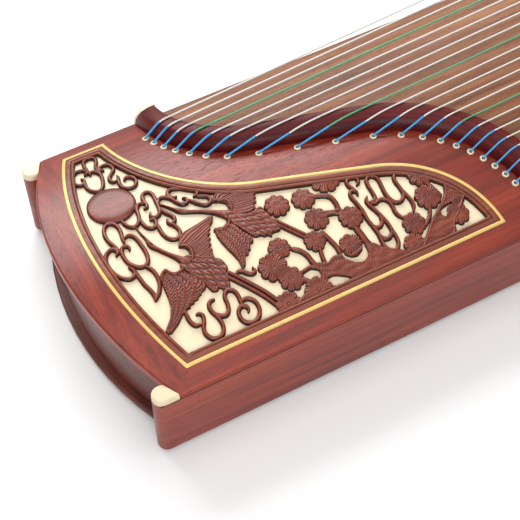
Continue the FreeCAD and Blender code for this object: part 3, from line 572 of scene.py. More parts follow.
def scroll(points, width=3.8, ends=(0.3, 0.3), top=TOP):
    """A round-backed ribbon along a curve; ends is its share of the width at each end."""
    row = curve(points)
    where, uu, vv = window(row, width)
    d, along, side, length = nearest(uu, vv, row)
    run0 = np.clip(along * length / SCROLL_TAPER, 0, 1)
    run1 = np.clip((1 - along) * length / SCROLL_TAPER, 0, 1)
    half = 0.5 * width * (ends[0] + (1 - ends[0]) * np.sqrt(run0)) * (
        ends[1] + (1 - ends[1]) * np.sqrt(run1))
    h = rounded(half - d, half, top=top) - 0.12 * (side > 0)
    add(where, half - d, h)


def sun(u, v, r):
    """A plain domed disc."""
    where, uu, vv = window([(u, v)], r + 2)
    d = r - np.hypot(uu - u, vv - v)
    add(where, d, rounded(d, 9.0, top=-0.4))


def blossom(u, v, r, turn=0.0, petals=9, top=-0.9):
    """A flower seen from above, with notched petals, veins and a ring about its heart."""
    where, uu, vv = window([(u, v)], r + 2)
    rho, phi = np.hypot(uu - u, vv - v), np.arctan2(vv - v, uu - u) + turn
    lobe = np.abs(np.cos(petals * phi / 2))
    d = r * (0.82 + 0.18 * lobe ** 0.6) - rho
    h = rounded(d, 2.0, low=top - 2.0, top=top) - 0.5 * (rho / r) ** 2
    gap = np.abs(np.mod(phi * petals / (2 * pi), 1.0) - 0.5) * 2 * pi / petals * rho
    h -= 0.6 * np.exp(-(gap / 0.5) ** 2) * np.clip((rho / r - 0.45) * 5, 0, 1)
    veins = np.cos(3 * petals * phi) * np.clip(rho / r * 2.5 - 0.4, 0, 1)
    h += 0.3 * veins
    h -= 0.55 * np.exp(-((rho - 0.13 * r) / 0.45) ** 2)
    add(where, d, h, -3.2)


def ridged(outline, lines, top=-0.8, step=0.9, ribs=4, barbs=0.0):
    """A wing: a closed outline filled with feathers that lie between successive lines."""
    ring = np.array(outline, float)
    where, uu, vv = window(ring, 3)
    d = inside_of(uu, vv, ring)
    rows = [curve(line, 2.0) for line in lines]
    rows = [np.vstack([row, row[-1] + 6 * (row[-1] - row[-2])]) for row in rows]
    near = [nearest(uu, vv, row) for row in rows]
    signed = [n[0] * n[2] for n in near]
    turn = np.sign(np.mean(nearest(rows[1][:, 0], rows[1][:, 1], rows[0])[2]))
    h = np.full(uu.shape, top)
    done = np.zeros(uu.shape, bool)
    for k in range(len(rows) - 1):
        a, b = turn * signed[k], -turn * signed[k + 1]
        here = (b >= 0) & ~done
        f = np.clip(a, 0.01, None) / (np.clip(a, 0.01, None) + np.clip(b, 0.01, None))
        phase = near[k][1] * near[k][3] + barbs * 8 * np.abs(f - 0.5)
        wave = np.cos(2 * pi * ribs * f) if not barbs else 1.3 * np.cos(2 * pi * phase / 3.0)
        quill = barbs * 0.3 * np.exp(-((f - 0.5) / 0.07) ** 2)
        h = np.where(here, top - step * f - 0.3 * wave + quill - 0.9 * np.exp(-(f / 0.09) ** 2), h)
        done |= here
    h = np.minimum(h, rounded(d, 1.6, low=-3.0, top=top + 0.1))
    add(where, d, h)


def scales(outline, along, pitch=6.2, top=-0.1):
    """A feathered body: rows of pointed scales that lap in the direction given."""
    ring = np.array(outline, float)
    where, uu, vv = window(ring, 3)
    d = inside_of(uu, vv, curve(ring, 2.0, closed=True))
    ca, sa = along
    a, b = uu * ca + vv * sa, -uu * sa + vv * ca
    a = a + 1.6 * np.sin(0.43 * b) + 0.8 * np.sin(0.9 * b + 0.3 * a)
    h = np.full(uu.shape, top - 1.7)
    for lap in (2, 1, 0):
        row = np.floor(a / pitch) - lap
        shift = 0.5 * np.mod(row, 2)
        c = (np.floor(b / pitch - shift) + 0.5 + shift) * pitch
        t = (a - row * pitch) / (1.9 * pitch)
        reach = 0.64 * pitch * np.clip(1 - t, 0, 1) ** 0.85 * np.clip(t * 5 + 0.4, 0, 1)
        across = np.abs(b - c)
        tile = top - 2.2 + 2.1 * t - 1.6 * (across / pitch) ** 2
        tile += 0.25 * np.exp(-(across / 0.4) ** 2) - 0.12 * np.cos(pi * (across + a) / 0.9)
        h = np.where((across < reach) & (t < 1), np.maximum(h, tile), h)
    h = np.minimum(h, rounded(d, 4.0, low=-2.8, top=top + 0.1))
    add(where, d, h)


def ropes(rows, top=-0.7):
    """A neck: points (u, v, width) down its middle."""
    p = np.array(rows, float)
    row = curve(p, 0.8)
    where, uu, vv = window(row[:, :2], 5)
    d, along, side, length = nearest(uu, vv, row[:, :2])
    chord = np.linalg.norm(np.diff(row[:, :2], axis=0), axis=1)
    at = np.concatenate([[0], np.cumsum(chord)]) / chord.sum()
    half = 0.5 * np.interp(along, at, row[:, 2])
    h = rounded(half - d, half, top=top)
    h += 0.1 * np.cos(2 * pi * (along * length + 0.8 * d) / 2.0) * (half > 1.3)
    add(where, half - d, h)


def slab(outline, top=-1.1, edge=2.2, grain=0.22):
    """A piece of trunk, with bark furrows, tool marks and a raised lip along its edge."""
    ring = curve(outline, 1.5, closed=True)
    where, uu, vv = window(ring, 3)
    d = inside_of(uu, vv, ring)
    furrow = np.sin(0.9 * vv + 1.6 * np.sin(0.12 * uu) + 1.1 * np.sin(0.31 * uu + 0.2 * vv))
    knots = np.sin(0.37 * uu + 1.3) * np.sin(0.41 * vv)
    dimples = np.sin(2 * pi * (uu + 0.6 * np.sin(vv)) / 2.9) * np.sin(2 * pi * vv / 2.6)
    lip = 0.5 * np.exp(-((d - 1.6) / 0.8) ** 2)
    h = rounded(d, edge, low=-3.1, top=top) + grain * furrow + 0.25 * knots - 0.2
    add(where, d, np.minimum(h + 0.22 * dimples + lip, -0.3))


def hole(outline):
    """An opening through a trunk."""
    ring = curve(outline, 1.0, closed=True)
    where, uu, vv = window(ring, 3)
    cut(where, inside_of(uu, vv, ring))


def oval(u, v, ru, rv, n=20):
    a = np.linspace(0, 2 * pi, n, endpoint=False)
    return np.column_stack([u + ru * np.cos(a), v + rv * np.sin(a)])


# plum tree: lower trunk with its openings, then the trunk in the lower corner
slab(((176, -124), (186, -112), (198, -104), (203, -97), (206, -94), (214, -98), (222, -95),
      (231, -97), (240, -100), (252, -97), (262, -99), (268, -106), (277, -112), (286, -118),
      (290, -126)))
slab(((296, -126), (302, -120), (308, -115), (315, -109), (322, -103), (330, -98), (338, -93),
      (345, -88), (350, -82), (353, -76), (356, -69), (364, -62), (374, -84), (369, -92),
      (364, -97), (352, -107), (342, -115), (334, -124)))
hole(((189, -99), (196, -97.5), (202.5, -99), (203.5, -105), (200, -109.5), (192, -110),
      (188.5, -105)))
hole(oval(221.5, -86, 3.8, 5.6))
hole(((229.6, -95), (230.8, -101.7), (235.8, -107.5), (243.3, -110.8), (250, -108.8),
      (253.3, -103.3), (253.3, -95.8), (249, -100.5), (243, -103.6), (237, -102), (233, -98)))
hole(((205.8, -112.5), (211.7, -110.8), (218.3, -113.3), (226.7, -120), (208.3, -119.6)))
hole(((335, -103.5), (336.6, -98), (341.5, -96), (350.5, -95.2), (345.5, -101), (340, -106)))
for points, width in (
        (((193, -73), (198, -77.5), (201.3, -84), (202.3, -91), (204, -99)), 4.6),
        (((186, -96.5), (192, -96), (198.3, -95.4), (204, -99)), 3.4),
        (((225.4, -70), (228.3, -81.7), (229.6, -88.3), (229.2, -96)), 4.4),
        (((238, -33), (247, -36.5), (251.5, -41), (252.5, -48), (251.5, -56), (252, -64)), 4.6),
        (((236, -52), (245, -55.5), (252, -56)), 3.6),
        (((238, -56), (246.7, -58.3), (250.5, -63)), 3.2),
        (((255, -77), (256.5, -88), (257.5, -97), (263, -107), (274, -114), (284, -121)), 6.0),
        (((215, -84), (213, -92), (212, -100)), 4.0),
        (((176, -78), (178, -86), (176, -92)), 4.0),
        (((192, -108), (188, -104), (184, -101)), 4.2),
        (((316, -104), (324, -98), (329, -90)), 4.0),
        (((345, -84), (342, -74), (340, -66)), 4.4)):
    scroll(points, width, ends=(0.8, 0.8), top=-1.2)

for k, (u, v, r) in enumerate((
        (202.9, -26.7, 12.3), (227.9, -31.2, 11.5), (228.3, -55.4, 11.8), (257, -67.9, 11.8),
        (215, -74.6, 10.5), (182.5, -67, 10.8), (168, -81.3, 14), (177.5, -97.5, 12),
        (242.5, -92, 11.2), (194.2, -117.9, 13.5), (163.8, -118, 12.5), (256.5, -21, 15),
        (332.9, -80.4, 13), (306.7, -98.3, 11.6), (296.7, -116.7, 11.5), (339.2, -56.7, 13),
        (350, -107, 11))):
    blossom(u, v, r, turn=0.7 * k, petals=9 if r > 11.3 else 8, top=-0.7 - 0.4 * (k % 3))

sun(71.5, 48.8, 22.8)

# cloud scrolls between the sun and the cranes
for points in (
        ((66.9, 102.2), (70.5, 103.6), (72, 109), (72.5, 116), (74.5, 122.5), (79.5, 125.3),
         (84.5, 123.5), (85.7, 119), (84, 114), (81.5, 109), (80.4, 103), (80.6, 97), (80, 90),
         (78, 83), (75, 76.5), (70.5, 72.8), (66, 74.5), (62.8, 79), (61.8, 85), (62.8, 91),
         (63.8, 95.5), (62, 98.3)),
        ((70, 107), (68, 110.5), (64, 111.8), (59.5, 110), (56, 105.5), (54.2, 100), (54.5, 95),
         (57, 91), (60.5, 89.7), (62.5, 91.5)),
        ((72, 98.5), (72.2, 101), (74.5, 103), (77.5, 101.5), (79.5, 96)),
        ((85.6, 98), (83, 100), (82.5, 103), (86, 105.4), (90, 105.5), (93.3, 102), (94.3, 97),
         (92.5, 92.3), (88.5, 88.5), (85.3, 84.5), (84.5, 80.5), (85.8, 77.3), (88.8, 76.5)),
        ((92.5, 83.3), (92.7, 80), (91, 76), (90, 71.5), (90.2, 67), (92.2, 63), (96, 60.7),
         (100.5, 60.8), (104, 64.5), (105, 69), (103.5, 73.5), (100, 76), (97, 75.3), (95.7, 73)),
        ((50, -8), (53.3, -5.5), (54, -1), (53, 4), (51.3, 10), (51, 17), (52.5, 23),
         (55.5, 27.5), (59.5, 28.8), (63.5, 26.5), (65.5, 21), (65.3, 15), (63.8, 8), (62.8, 1)),
        ((52.3, -6), (52.5, -2.5), (50, 0.3), (46, -0.5), (42, -4), (39.8, -10), (39.5, -17),
         (41, -24.5), (44.5, -31), (49.5, -35), (54, -35.2), (57.3, -32), (56.8, -28),
         (54.6, -24)),
        ((63.4, -8), (64.3, -5), (62.5, -2.3), (59.5, -2.2), (56.8, -5.5), (55.6, -12),
         (56.5, -19), (60, -25.3), (65, -29), (70, -28.7), (73.8, -24), (75.2, -16), (75, -7),
         (74.5, -1), (73, 4.5), (69.5, 7.6), (65.3, 6.3)),
        ((71.5, 27), (72, 22.5), (74, 17.5), (78, 14.3), (82, 15), (85.7, 19), (87.8, 25),
         (89, 31), (92, 35.8), (95.5, 37), (98.3, 35)),
        ((95.2, 29), (98.3, 29.5), (99.6, 33), (99.5, 40), (101.3, 45.3), (105, 47.8),
         (109, 45.3), (110, 40), (109, 33), (108, 25), (106, 18), (102, 15), (98.3, 15.5),
         (96.8, 18.5), (98.5, 22)),
        ((87.3, 19), (86.9, 13), (88.3, 8), (92, 4.8), (96, 5.5), (98, 9.5), (97.3, 13.3),
         (94, 14.3)),
        ((98, 8), (97.3, 1), (97.3, -6), (99.5, -12.3), (104, -16), (108.5, -15.8),
         (111.8, -11.5), (112, -6), (110, -1), (107.3, 2.8), (107.7, 7.2)),
        ((108.3, 22), (110, 15.5), (113.3, 10), (114.5, 5.5), (113, 1.8), (110.3, 1.3)),
        ((110.3, 28.5), (111.5, 32.5), (115.5, 33.8), (119.5, 31.2), (122.5, 27), (124.8, 21.5),
         (127.8, 17), (131.8, 16), (134.3, 18.3), (133.5, 22), (131.2, 23)),
        ((128, 28), (125.5, 27.5), (122.5, 30.5), (121.8, 34.5), (124.5, 38), (129, 38.3),
         (134, 36), (139.5, 32), (144, 28), (146.5, 24), (145, 20.5), (141, 19.8)),
        ((134.3, 19.5), (137.5, 15.5), (141, 10.5), (145, 6.3), (149.5, 5), (153, 8),
         (152.8, 12.5), (149, 15.8), (144, 18)),
        # below the lower crane
        ((79.3, -84), (78.3, -90), (78.8, -96), (81.5, -100.3), (85.5, -101.3)),
        ((86, -91.8), (89.3, -92.3), (90.8, -95.8), (89, -100.5), (86.3, -105), (85.3, -110),
         (87.5, -115), (92, -117.8), (97.5, -117.3), (101.5, -113), (102.6, -107),
         (101.7, -100.5), (99.6, -94.5), (99.7, -89.5), (103, -86), (107, -86.2)),
        ((101.8, -98), (105, -101.5), (109.5, -103), (113.5, -99.8), (115.3, -94), (116, -88),
         (119, -84), (123, -83.5), (126.3, -86.8), (127.2, -92), (126.5, -98), (126, -102)),
        ((128, -108.8), (129.6, -106), (128, -102.8), (124.5, -101.8), (120.8, -104.5),
         (119.2, -109.5), (120.7, -114.5), (125.5, -118), (131, -118), (136, -114.5),
         (138.5, -109), (138, -102.5), (134.3, -98), (130, -97), (127, -98.5)),
        ((57.5, -29.5), (58.3, -37), (59.3, -46), (61.5, -54), (62, -60), (60.7, -65)),
        ((68, -30), (71.8, -36), (72.8, -43), (71.5, -51), (68, -58), (64, -62), (60.7, -65)),
        # between the blossoms
        ((282, -55.8), (279, -59), (279, -64.5), (281, -71), (283, -79), (284.5, -88),
         (284.3, -96), (284.5, -103), (282.5, -110), (277.5, -113.8), (272.5, -111.5),
         (269.8, -106), (270.3, -99), (271, -92), (270.3, -84), (269.5, -76), (270.3, -68),
         (269.7, -58), (268.5, -50), (270, -45.5), (273.5, -44.3), (276, -47), (275.3, -50.8)),
        ((270.3, -84), (273.5, -87.5), (277.5, -87.3), (280.8, -84), (281.8, -78)),
        ((271, -95), (273.5, -99.5), (277, -101), (281, -99.5), (284, -95)),
        ((276, -47), (274.8, -42.5), (273, -38), (273.3, -33.8), (276.5, -31), (281, -31.2),
         (284.2, -34.3), (283.3, -38.5), (280, -40.6)),
        ((281, -62), (285.5, -62.5), (288.3, -59.5), (289, -53), (289.3, -46), (291, -40),
         (295, -37.5), (299.2, -39), (301.3, -44), (300.5, -51), (299.3, -58), (299.5, -65),
         (301.5, -71), (306, -73.7), (311, -72), (314.3, -67), (314.8, -60), (314.5, -53),
         (316.5, -47.8), (320.5, -45.5), (324, -47)),
        ((281.5, -64), (285.5, -65.3), (290, -63.8), (294.5, -65), (297.7, -69.5),
         (297.8, -75), (297, -81), (298.3, -86), (301, -90)),
        ((315.3, -64), (316.3, -71), (317, -77), (316, -83), (313, -88)),
        ((134.5, -73), (138.5, -71.5), (142, -73), (145, -76.5), (148.5, -78.7), (152, -77.5),
         (151.3, -73.5))):
    scroll(points)


def between(a, b, t, n=14):
    """A row of points part way from one curve to another."""
    pa, pb = curve(a, 0.5), curve(b, 0.5)
    pick = np.linspace(0, 1, n)
    pa = np.column_stack([np.interp(pick, np.linspace(0, 1, len(pa)), pa[:, k]) for k in (0, 1)])
    pb = np.column_stack([np.interp(pick, np.linspace(0, 1, len(pb)), pb[:, k]) for k in (0, 1)])
    return pa * (1 - t) + pb * t


# lower crane
for leg in (-1.8, 1.8):
    shank = ((129, -70), (140, -86), (149, -100), (156, -114))
    scroll([(u + leg, v + 0.7 * leg) for u, v in shank], 3.4, ends=(0.9, 0.9), top=-1.3)
lead = ((77.1, -43.8), (73, -54), (71.4, -67.6), (66, -83), (55.2, -95))
trail = ((93.3, -49), (99, -56), (105.7, -66.7), (96, -78), (60, -97.6))
ridged(((81.9, -41.4), (77.1, -43.8), (74.3, -48.6), (72.4, -57.1), (71.4, -67.6), (69.5, -76.2),
        (64.8, -84.8), (55.2, -94.3), (55.7, -97.1), (60, -97.6), (68.6, -92.9), (76.2, -86.7),
        (79.5, -87), (81, -84.3), (85, -84), (85.7, -81.9), (90, -81.6), (90.5, -80), (95, -79.6),
        (95.2, -78.1), (99.6, -76.6), (100, -75.2), (104.8, -73.8), (106.7, -71.4),
        (105.7, -66.7), (101, -58.1), (96.2, -50.5), (93.3, -49), (87.6, -48.1), (84.3, -44.8)),
       [between(lead, trail, t) for t in (0.0, 0.22, 0.44, 0.68, 1.0)], barbs=1.0, step=1.0)
ridged(((103.5, -25), (105.5, -21), (109, -16), (115, -13), (125, -11.5), (135, -10),
        (142, -8.5), (146, -9.5), (143, -15), (138, -18.5), (137.5, -21), (134, -23),
        (135, -25.5), (131, -28), (133, -30.5), (129.5, -33), (130.5, -36.5), (126.5, -38.5),
        (129, -41.5), (127.5, -44), (126.5, -49.5), (121, -52), (113, -51.5), (107, -47),
        (106, -44), (108, -39), (109, -33), (108, -28)),
       [((104, -20), (115, -12), (130, -10), (146, -8)),
        ((108, -26), (125, -19), (140, -14)), ((110, -31), (125, -27), (137, -22)),
        ((112, -35), (125, -33.5), (133, -30.5)), ((112, -40), (125, -39.5), (131, -37)),
        ((110, -44), (120, -45.5), (130, -43)), ((106, -49), (113, -52.5), (127, -52))],
       step=1.3, ribs=3)
scales(((95, -44), (97, -50), (101, -58), (105.7, -67.6), (107.5, -74), (109, -78.5),
        (113.8, -80), (116.2, -78.1), (120, -82.5), (124.8, -82), (127.1, -76.2),
        (128.6, -67.6), (131.9, -64.8), (131.9, -59.5), (130.5, -54), (125, -49),
        (114, -42), (106, -37), (100, -38)), (cos(-0.95), sin(-0.95)))
ropes(((79, 13, 0.8), (80, 4, 1.5), (81.5, -4, 2.4), (82.3, -12, 5.0), (86, -19, 3.8),
       (90.5, -26, 3.4), (95.5, -33, 4.4), (101, -41, 8.0)))
scroll(((104, -25), (109, -28), (111.5, -34), (110, -40), (107, -44)), 3.4, (0.6, 0.6), 0.2)
scroll(((74.5, -50), (77, -45), (81.5, -42.5), (84, -46.5), (88, -49.5), (94, -49), (97, -47)),
       3.2, (0.6, 0.6), 0.2)

# upper crane
for leg in (-1.5, 1.5):
    scroll([(u + leg, v + 0.5 * leg) for u, v in ((192, -40), (199, -51), (210, -67))],
           2.9, ends=(0.9, 0.9), top=-1.3)
lead = ((140, -22.5), (138.5, -31), (140.5, -47), (143.5, -58), (142.9, -71.4))
trail = ((154, -20.5), (160, -32), (167, -47), (159, -57.1), (147.6, -68.6))
ridged(((140, -22.5), (143, -23), (148, -24.5), (152, -23), (154, -20.5), (158, -27),
        (161.5, -37), (167, -47), (164.8, -51.4), (162, -51.5), (159.5, -54.8), (159, -57.1),
        (156.5, -57.5), (155.2, -60.5), (152, -60.5), (150.5, -62.9), (147.6, -68.6),
        (142.9, -71.4), (143.8, -61.9), (142.5, -55), (140.5, -47), (139, -39), (138.5, -31)),
       [between(lead, trail, t) for t in (0.0, 0.25, 0.5, 0.75, 1.0)], barbs=1.0, step=1.0)
ridged(((153.5, 4.5), (154, 7), (157, 11), (161, 13), (167, 14), (176, 12), (185, 5),
        (195, -1), (193, -5), (189.5, -6.5), (191, -9), (187.5, -11), (189, -13.5),
        (184.5, -15.5), (185, -19), (180, -21), (173, -20.5), (167, -19), (162.5, -11),
        (163, -7), (163, -2), (159, 2)),
       [((155, 9), (163, 15), (178, 13), (196, 1)), ((163, 4), (175, 5), (191, 1)),
        ((167, -1.5), (176, -1), (191, -4)), ((168, -6), (180, -7), (190, -9)),
        ((167, -11.5), (176, -12.5), (188, -14)), ((166, -17), (175, -21.5), (186, -21))],
       step=1.3, ribs=3)
scales(((153, -12), (158, -9), (164, -12), (170, -20), (180, -22), (188, -20), (190.5, -24),
        (190.5, -28), (192, -35), (194, -43), (193, -51), (185, -50.8), (182.5, -53.8),
        (180, -50.8), (176.7, -50.8), (174.2, -48.3), (170.8, -47.9), (167.5, -45.4),
        (162, -35), (157, -24)), (cos(-0.75), sin(-0.75)))
ropes(((110.5, 26, 0.7), (114.5, 20.5, 1.6), (118.5, 15, 3), (122.5, 10.3, 5), (128, 6.3, 3.8),
       (134.5, 2.8, 3.2), (142, -1.5, 3.6), (149, -6.3, 4.8), (157, -13, 9)))
scroll(((154, 5.5), (160, 4), (165, -0.5), (166, -6), (164.5, -11.5)), 3.2, (0.6, 0.6), 0.2)
scroll(((139.5, -24.5), (142, -25), (147, -27), (153, -25.5), (157, -21)), 3.0, (0.6, 0.6), 0.2)
for u, v in ((82.9, -12.2), (124.2, 10.4)):
    where, uu, vv = window([(u, v)], 3)
    rho = np.hypot(uu - u, vv - v)
    height[where] -= np.where(rho < 2.4, 1.1 * np.exp(-((rho - 1.3) / 0.45) ** 2), 0)

# everything stays within the moulding
frame_ring = panel_outline(11.2, 20)
frame_ring[:, 0] -= TAIL_X
uu, vv = np.meshgrid(GRID_U, GRID_V)
inside = np.minimum(inside, inside_of(uu, vv, frame_ring))
height = np.where(height > -40, height, edge_h)
inside = np.where(np.abs(inside) < 0.04 * CELL, np.where(inside > 0, 0.04, -0.04) * CELL, inside)


def hollows():
    """How far each point of the carving lies below the wood round it: 1 in a deep groove. The
    carving's material turns it into painted shade in the grooves and painted highlight on the
    raised points.
    """
    reach = int(round(1.5 / CELL))
    weight = (inside > 0).astype(float)
    total = height * weight
    for axis in (0, 1):
        total = sum(np.roll(total, k, axis) for k in range(-reach, reach + 1))
        weight = sum(np.roll(weight, k, axis) for k in range(-reach, reach + 1))
    return np.clip((total / np.maximum(weight, 1) - height) / 0.55, -1, 1)


def relief_mesh():
    """The carved surface inside its outline, with upright walls down to the backing."""
    rows, cols = inside.shape
    u, v = uu.ravel(), vv.ravel()
    d, h, low = inside.ravel(), height.ravel(), hollows().ravel()
    index = np.arange(rows * cols).reshape(rows, cols)
    a, b = index[:-1, :-1].ravel(), index[:-1, 1:].ravel()
    c, e = index[1:, 1:].ravel(), index[1:, :-1].ravel()
    flip = (np.add.outer(np.arange(rows - 1), np.arange(cols - 1)) % 2 == 0).ravel()
    t1 = np.where(flip[:, None], np.column_stack([a, b, c]), np.column_stack([a, b, e]))
    t2 = np.where(flip[:, None], np.column_stack([a, c, e]), np.column_stack([b, c, e]))
    tris = np.vstack([t1, t2])
    count = (d[tris] > 0).sum(1)
    full = tris[count == 3]

    def turned(which, single_inside):
        t = tris[which]
        lone = (d[t] > 0) == single_inside
        k = lone.argmax(1)
        return np.column_stack([np.take_along_axis(t, ((k + s) % 3)[:, None], 1)[:, 0]
                                for s in range(3)])
    one, two = turned(count == 1, True), turned(count == 2, False)
    pairs = np.vstack([one[:, [0, 1]], one[:, [0, 2]], two[:, [0, 1]], two[:, [0, 2]]])
    keys = np.sort(pairs, axis=1)
    unique, back = np.unique(keys[:, 0].astype(np.int64) * len(d) + keys[:, 1],
                             return_inverse=True)
    back = back.ravel()
    p, q = (unique // len(d)).astype(int), (unique % len(d)).astype(int)
    t = d[p] / (d[p] - d[q])
    inner = np.where(d[p] > 0, p, q)
    new = np.column_stack([u[p] + t * (u[q] - u[p]), v[p] + t * (v[q] - v[p]), h[inner],
                           low[inner]])
    new[:, 2] = np.maximum(np.minimum(new[:, 2], edge_h.ravel()[inner] + 0.5), -3.2)
    n1, n2 = len(one), len(two)
    base = len(d)
    e1, e2 = back[:n1] + base, back[n1:2 * n1] + base
    f1, f2 = back[2 * n1:2 * n1 + n2] + base, back[2 * n1 + n2:] + base
    faces = np.vstack([full, np.column_stack([one[:, 0], e1, e2]),
                       np.column_stack([f1, two[:, 1], two[:, 2]]),
                       np.column_stack([f1, two[:, 2], f2])])
    rim = np.vstack([np.column_stack([e1, e2]), np.column_stack([f2, f1])])
    points = np.vstack([np.column_stack([u, v, h, low]), new])
    used, small = np.unique(faces, return_inverse=True)
    faces = small.reshape(-1, 3)
    tops = points[used]
    rim_ids, rim_small = np.unique(rim, return_inverse=True)
    rim_small = rim_small.reshape(-1, 2)
    rim_top = points[rim_ids]
    rim_low = rim_top.copy()
    rim_low[:, 2] = -PANEL_DEPTH
    n, m = len(tops), len(rim_ids)
    walls = np.column_stack([rim_small[:, 1] + n, rim_small[:, 0] + n,
                             rim_small[:, 0] + n + m, rim_small[:, 1] + n + m])
    verts = np.vstack([tops, rim_top, rim_low])
    places = np.column_stack([verts[:, 0] + TAIL_X, verts[:, 1],
                              deck_z(verts[:, 1]) + verts[:, 2]])
    return places, faces.tolist() + walls.tolist(), verts[:, 3]


def rim_strip(profile, steps=44):
    """A strip round the panel; profile is (inset, height above the deck)."""
    table = []
    for inset, lift in profile:
        ring = panel_outline(inset, steps)
        table.append(np.column_stack([ring, deck_z(ring[:, 1]) + lift]))
    cols = len(table[0])
    return np.vstack(table), grid_faces(len(table), cols, close_cols=True)


verts, faces, low = relief_mesh()
relief = mesh_object("carved_relief", verts, faces, carving_wood, "carving")
# the hollow value drives the painted shade and painted highlight in the carving's colour
relief.data.attributes.new("hollow", "FLOAT", "POINT").data.foreach_set("value", low)
# the upright walls (the quads) get carving_shade: painted shade beside each carved form
relief.data.materials.append(carving_shade)
for polygon in relief.data.polygons:
    polygon.material_index = int(len(polygon.vertices) == 4)
moulding = mesh_object("panel_moulding", *rim_strip((
    (3.1, -0.6), (3.2, -0.15), (3.5, 0.0), (5.5, -0.05), (7.6, -0.15), (7.9, -0.35), (8.1, -1.0),
    (8.3, -1.3), (8.6, -1.2), (8.9, -0.75), (9.4, -0.4), (10.0, -0.3), (10.7, -0.45),
    (11.2, -0.95), (11.6, -1.7), (11.8, -2.8), (12.0, -PANEL_DEPTH))), moulding_wood, "carving")
moulding.data.materials.append(carving_shade)
# the moulding's groove strips and inner edge strips get carving_shade: painted shade
strip = len(moulding.data.polygons) // 16
for polygon in moulding.data.polygons:
    polygon.material_index = int(polygon.index // strip in (6, 7, 14, 15))
inlay = mesh_object("gold_line", *rim_strip((
    (-0.05, -0.8), (0.0, 0.02), (0.25, 0.3), (0.8, 0.42), (1.6, 0.46), (2.4, 0.42), (2.95, 0.3),
    (3.2, 0.02), (3.25, -0.8))), gold, "gold_inlay")
for obj in (relief, moulding, inlay):
    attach(obj, "body")
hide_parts("carved_panel")
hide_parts("gold_inlay")


# ================================================================ seams
def seam(side):
    """A near-black strip along the joint between a side board and the edge of the decks: painted
    shade of the joint line.
    """
    stations = np.linspace(TAIL_X + 22, -TAIL_X - 22, 60)
    rows = []
    for out, lift in ((-0.3, -0.75), (0.12, -0.75), (0.12, 0.15), (-0.3, 0.15)):
        y = np.array([half_width(x) for x in stations])
        z = deck_z(y, ARCH_R - DECK_EDGE_T) + lift
        rows.append(np.column_stack([stations, side * (y + out), z]))
    n = len(stations)
    faces = grid_faces(n, 4, close_cols=True) + [(3, 2, 1, 0), tuple(range(4 * n - 4, 4 * n))]
    if side < 0:
        faces = [f[::-1] for f in faces]
    return np.stack(rows, axis=1).reshape(-1, 3), faces


for name, side in (("seam_near", -1), ("seam_far", 1)):
    obj = mesh_object(name, *seam(side), seam_shadow, "rosewood")
    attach(obj, "body")


# ================================================================ tail bridge
def bridge_stations():
    """Plan positions along the S as functions of the offset, each with its length so far."""
    places = [lambda d: (AX - (S_RA - d), BRIDGE_FAR_Y)]
    for k in range(49):
        a = pi + NORMAL_ANGLE * k / 48
        places.append(lambda d, a=a: s_a(a, d))
    for k in range(1, 10):
        t = k / 10

        def on_line(d, t=t):
            p, q = s_a(pi + NORMAL_ANGLE, d), s_b(NORMAL_ANGLE, d)
            return p[0] + (q[0] - p[0]) * t, p[1] + (q[1] - p[1]) * t
        places.append(on_line)
    for k in range(49):
        a = NORMAL_ANGLE * (1 - k / 48)
        places.append(lambda d, a=a: s_b(a, d))
    places.append(lambda d: (BX + S_RB + d, BRIDGE_NEAR_Y))
    return places


def tail_bridge():
    back = [(0.0, 0.0), (0.35, 2.6), (1.2, 5.6), (2.6, 8.3), (4.6, 10.7), (7.2, 12.9),
            (10.4, 14.6), (14.0, 15.8), (17.6, 16.35), (20.2, 16.4), (21.6, 16.0), (22.3, 15.1),
            (22.5, 13.8)]
    profile = curve(back, 1.2)
    profile = np.vstack([profile, [(22.5, 7.0), (22.5, 0.0)]])
    run = distances(profile)
    verts, uv = [], []
    last, length = None, 0.0
    for place in bridge_stations():
        mid = np.array(place(BRIDGE_FOOT + 11))
        length += 0.0 if last is None else np.linalg.norm(mid - last)
        last = mid
        for (offset, lift), s in zip(profile, run):
            x, y = place(BRIDGE_FOOT + offset)
            verts.append((x, y, deck_z(min(y, 152.0)) + lift))
            uv.append((length / 1000, s / 1000))
    cols = len(profile)
    rows = len(verts) // cols
    return verts, grid_faces(rows, cols) + end_caps(rows, cols), uv


verts, faces, uv = tail_bridge()
bridge = mesh_object("tail_bridge_curved", verts, faces, bridge_red, "dark_rosewood", uv=uv)
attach(bridge, "body")
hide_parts("tail_bridge")


# ================================================================ strings
def string_d(i):
    return STRING_D_THIN + (STRING_D_THICK - STRING_D_THIN) * i / (STRINGS - 1)


def string_y(i, end):
    """y of string i (0 is the treble one) at the tail eyelets (0) or the head eyelets (1)."""
    return (i - (STRINGS - 1) / 2) * (PITCH_HEAD if end else PITCH_TAIL)


def string_y_at(i, x):
    x0 = s_x(string_y(i, 0), EYELET_OFFSET)
    t = (x - x0) / (HEAD_EYELET_X - x0)
    return string_y(i, 0) * (1 - t) + string_y(i, 1) * t


def bridge_x(i):
    return FRONT_X - SCALE_TREBLE - SCALE_STEP * i - SCALE_GROWTH * i * i


def pin_place(i):
    return PIN_ROWS[i % 3], string_y(i, 1) + PIN_HEAD_R + string_d(i) / 2 + 0.15


def taut(points):
    """The line stretched over a row of (x, z) points."""
    hull = []
    for p in points:
        while len(hull) > 1:
            a, b = hull[-2], hull[-1]
            if (b[1] - a[1]) * (p[0] - a[0]) > (p[1] - a[1]) * (b[0] - a[0]):
                break
            hull.pop()
        hull.append(p)
    return hull


